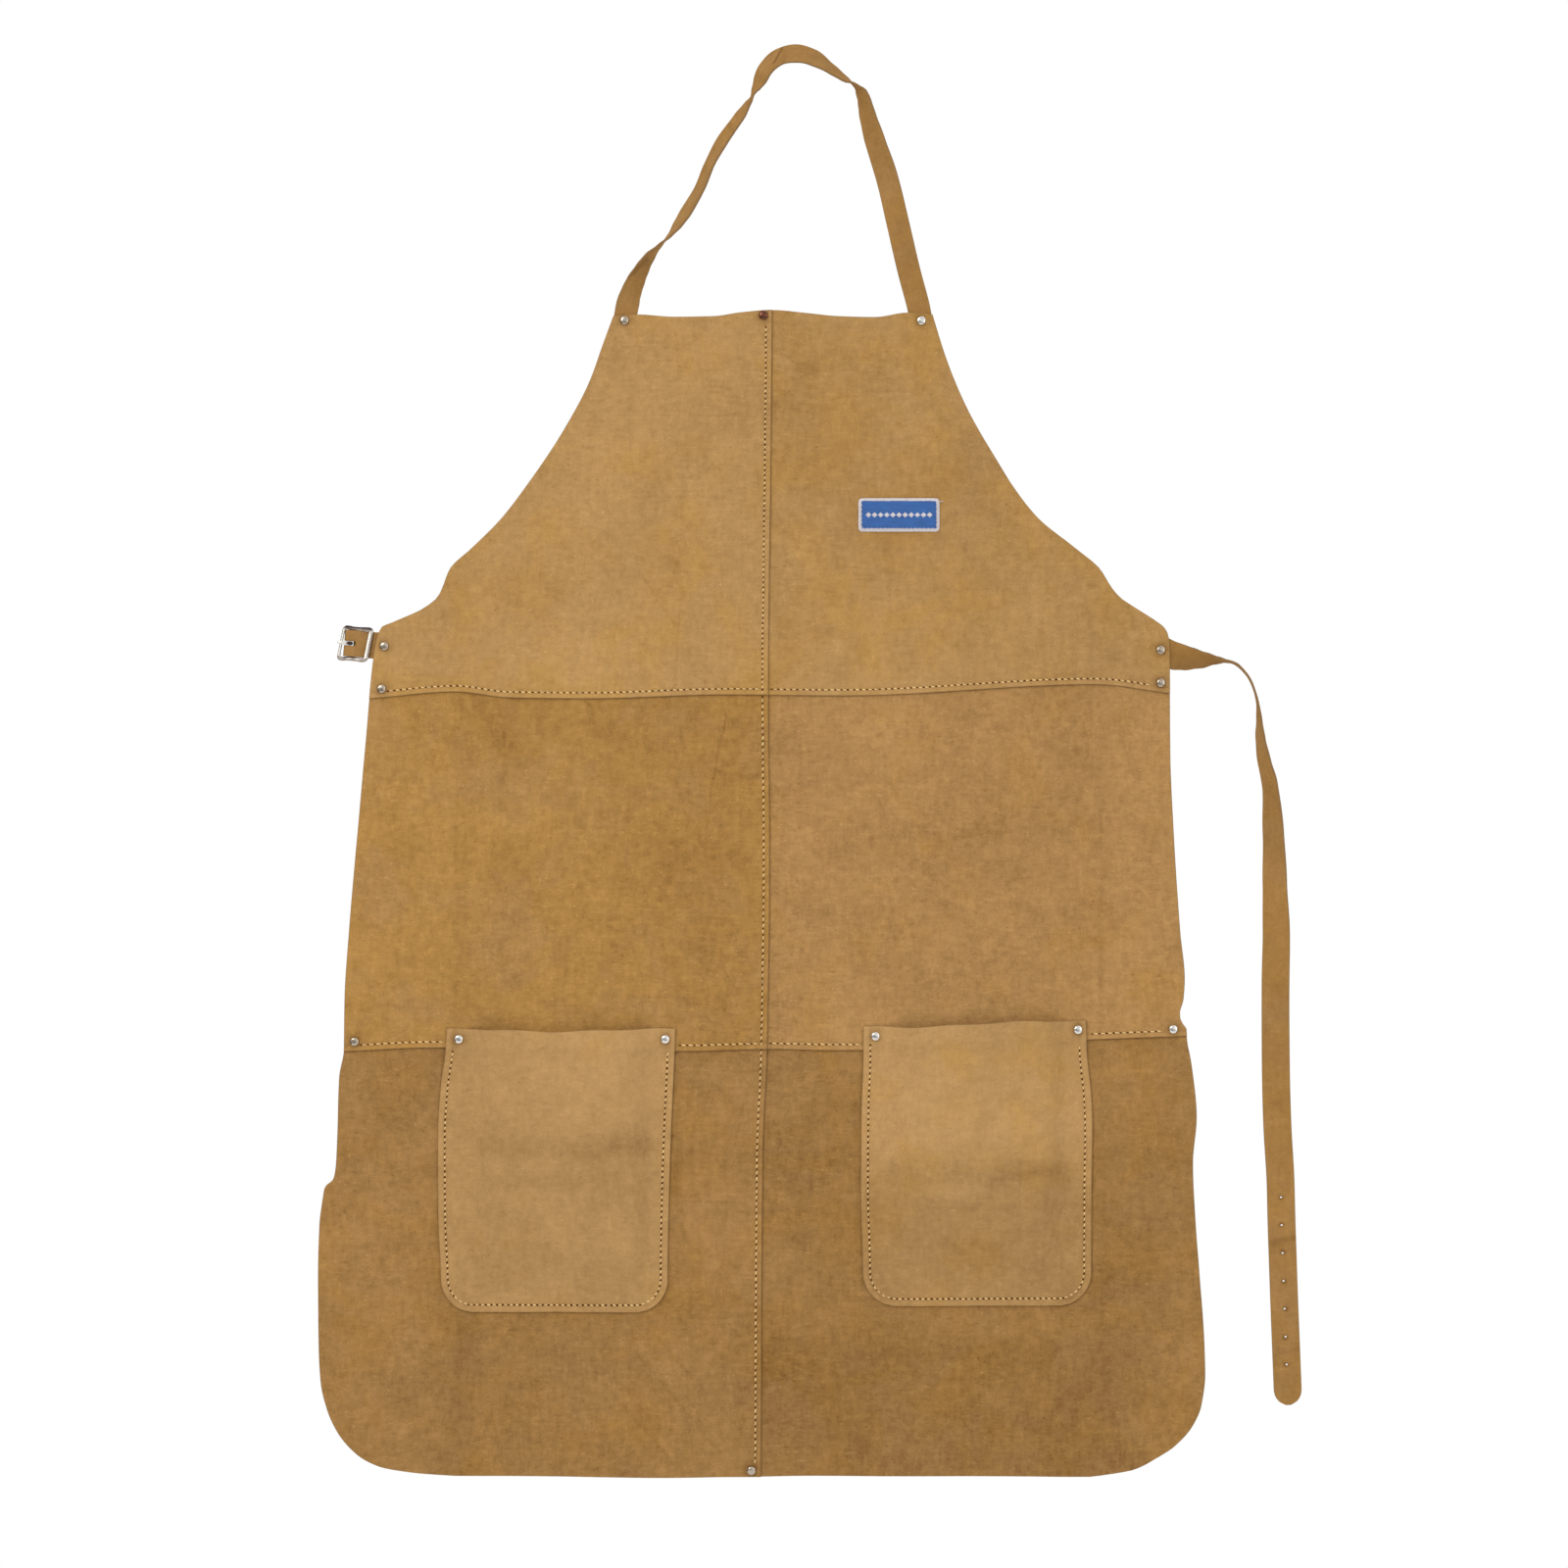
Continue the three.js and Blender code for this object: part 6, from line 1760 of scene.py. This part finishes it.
class APRON_OT_label(ApronOperator):
    """Weaves the label and sews it on the bib"""

    bl_idname = "apron.label"
    bl_label = "Label"

    def build(self, settings):
        blue = finish(woven, "label_weave", settings.label_colour)
        white = finish(spun_thread, "label_white_thread", settings.label_thread_colour, shade=1.4)
        patch_low, patch_high = low("label_patch"), high("label_patch")
        border_low, border_high = low("label_border"), high("label_border")
        x = np.repeat(np.linspace(patch_low[0] - 0.6, patch_high[0] + 0.6, 90)[None, :], 36, 0)
        z = np.repeat(np.linspace(patch_low[2] - 0.6, patch_high[2] + 0.6, 36)[:, None], 90, 1)
        front = patch_low[1] + 0.12 * ripples(x, z, 81, 22)
        points, faces, slots, _ = sheet_parts(x, z, front, patch_high[1] - patch_low[1] - 0.1, round_off=0.1)
        patch = make_object("label_patch_weave", points, faces, [blue])
        settle(patch, "root", "label_weave", "label_patch")

        rng = np.random.default_rng(82)
        out = OUTWARD
        centre = (border_low + border_high) / 2
        half_x, half_z = (border_high[0] - border_low[0]) / 2, (border_high[2] - border_low[2]) / 2
        band = 2.6
        corner = LABEL_CORNER
        outline = []
        for cx, cz, start in ((1, -1, -90), (1, 1, 0), (-1, 1, 90), (-1, -1, 180)):
            for a in np.radians(np.linspace(start, start + 90, 9)):
                outline.append((
                    centre[0] + cx * (half_x - corner) + corner * math.cos(a),
                    centre[2] + cz * (half_z - corner) + corner * math.sin(a),
                ))  # fmt: skip
        outline.append(outline[0])
        around = even(outline, 0.86)
        parts = []
        for k, here in enumerate(around[:-1]):
            ahead = around[(k + 1) % (len(around) - 1)] - here
            ahead = np.array([ahead[0], 0, ahead[1]]) / np.linalg.norm(ahead)
            inward = np.cross(out, ahead)
            spot = np.array([here[0], border_low[1] + 0.55, here[1]])
            reach = band + rng.uniform(-0.25, 0.35)
            end = spot + inward * reach + ahead * (0.45 + rng.normal(0, 0.08))
            verts, polys = capsule(spot, end, out, 0.5, 0.42)
            parts.append((verts, polys, 0, rng.normal(0.06, 0.08)))
        points, faces, slots, tones = gather(parts)
        border = make_object("label_merrowed_edge", points, faces, [white], slots, {"tone": tones})
        settle(border, "root", "label_thread", "label_border")

        parts = []
        sewn_y = low("thread_label")[1] + 0.4
        zig_low = (centre[0] - half_x + 2.2, centre[2] - half_z + 2.2)
        zig_high = (centre[0] + half_x - 2.2, centre[2] + half_z - 2.2)
        route = even([(zig_low[0], zig_high[1]), zig_low, (zig_high[0], zig_low[1]), zig_high], 1.7)
        for k, (here, there) in enumerate(zip(route[:-1], route[1:])):
            ahead = np.array([there[0] - here[0], 0, there[1] - here[1]])
            ahead /= np.linalg.norm(ahead)
            side = np.cross(ahead, out) * 0.85
            flip = 1 if k % 2 else -1
            start = np.array([here[0], sewn_y, here[1]]) + side * flip
            end = np.array([there[0], sewn_y, there[1]]) - side * flip
            verts, polys = capsule(start, end, out, 0.34, 0.28)
            parts.append((verts, polys, 0, rng.normal(0.1, 0.06)))
        tail = np.array([zig_high[0] + 2.0, sewn_y + 0.5, zig_high[1] - 0.6])
        for k in range(3):
            step = np.array([1.3, 0.12 * k, (0.35, -0.5, 0.2)[k]])
            verts, polys = capsule(tail, tail + step, out, 0.3, 0.1)
            parts.append((verts, polys, 0, -0.3))
            tail = tail + step * 0.85
        # the mark: a plain row of satin-stitched lozenges
        mark_y = patch_low[1] - 0.3
        lozenges = 11
        for k in range(lozenges):
            middle_x = centre[0] + (k - (lozenges - 1) / 2) * 4.8
            for j in np.arange(-1.9, 1.91, 0.38):
                reach = 2.35 * (1 - abs(j) / 2.25)
                start = np.array([middle_x + j, mark_y, centre[2] - reach])
                end = np.array([middle_x + j, mark_y, centre[2] + reach])
                verts, polys = capsule(start, end, out, 0.24, 0.2, sides=6, rings=5)
                parts.append((verts, polys, 0, rng.normal(0.02, 0.05)))
        points, faces, slots, tones = gather(parts)
        sewing = make_object("label_stitches_and_mark", points, faces, [white], slots, {"tone": tones})
        settle(sewing, "root", "label_thread", "thread_label")


class APRON_PT_sidebar(bpy.types.Panel):
    """Builds the apron piece by piece"""

    bl_label = "Welding apron"
    bl_idname = "APRON_PT_sidebar"
    bl_space_type = "VIEW_3D"
    bl_region_type = "UI"
    bl_category = "Apron"

    def draw(self, context):
        layout = self.layout
        for settings in (context.scene.apron, context.scene.apron_stage):
            for name in settings.__annotations__:
                layout.prop(settings, name)
        for operator in OPERATORS:
            layout.operator(operator.bl_idname)


OPERATORS = (
    STAGE_OT_studio,
    APRON_OT_bib,
    APRON_OT_skirt,
    APRON_OT_hem,
    APRON_OT_pockets,
    APRON_OT_neck_strap,
    APRON_OT_waist_strap,
    APRON_OT_buckle_tab,
    APRON_OT_buckle,
    APRON_OT_rivets,
    APRON_OT_stitching,
    APRON_OT_label,
)
CLASSES = (ApronSettings, StageSettings, *OPERATORS, APRON_PT_sidebar)


def register():
    for cls in CLASSES:
        bpy.utils.register_class(cls)
    bpy.types.Scene.apron = bpy.props.PointerProperty(type=ApronSettings)
    bpy.types.Scene.apron_stage = bpy.props.PointerProperty(type=StageSettings)


def unregister():
    del bpy.types.Scene.apron_stage
    del bpy.types.Scene.apron
    for cls in reversed(CLASSES):
        bpy.utils.unregister_class(cls)


def main():
    register()
    for operator in OPERATORS:
        getattr(bpy.ops.apron, operator.bl_idname.split(".")[1])()


if __name__ == "__main__":
    main()
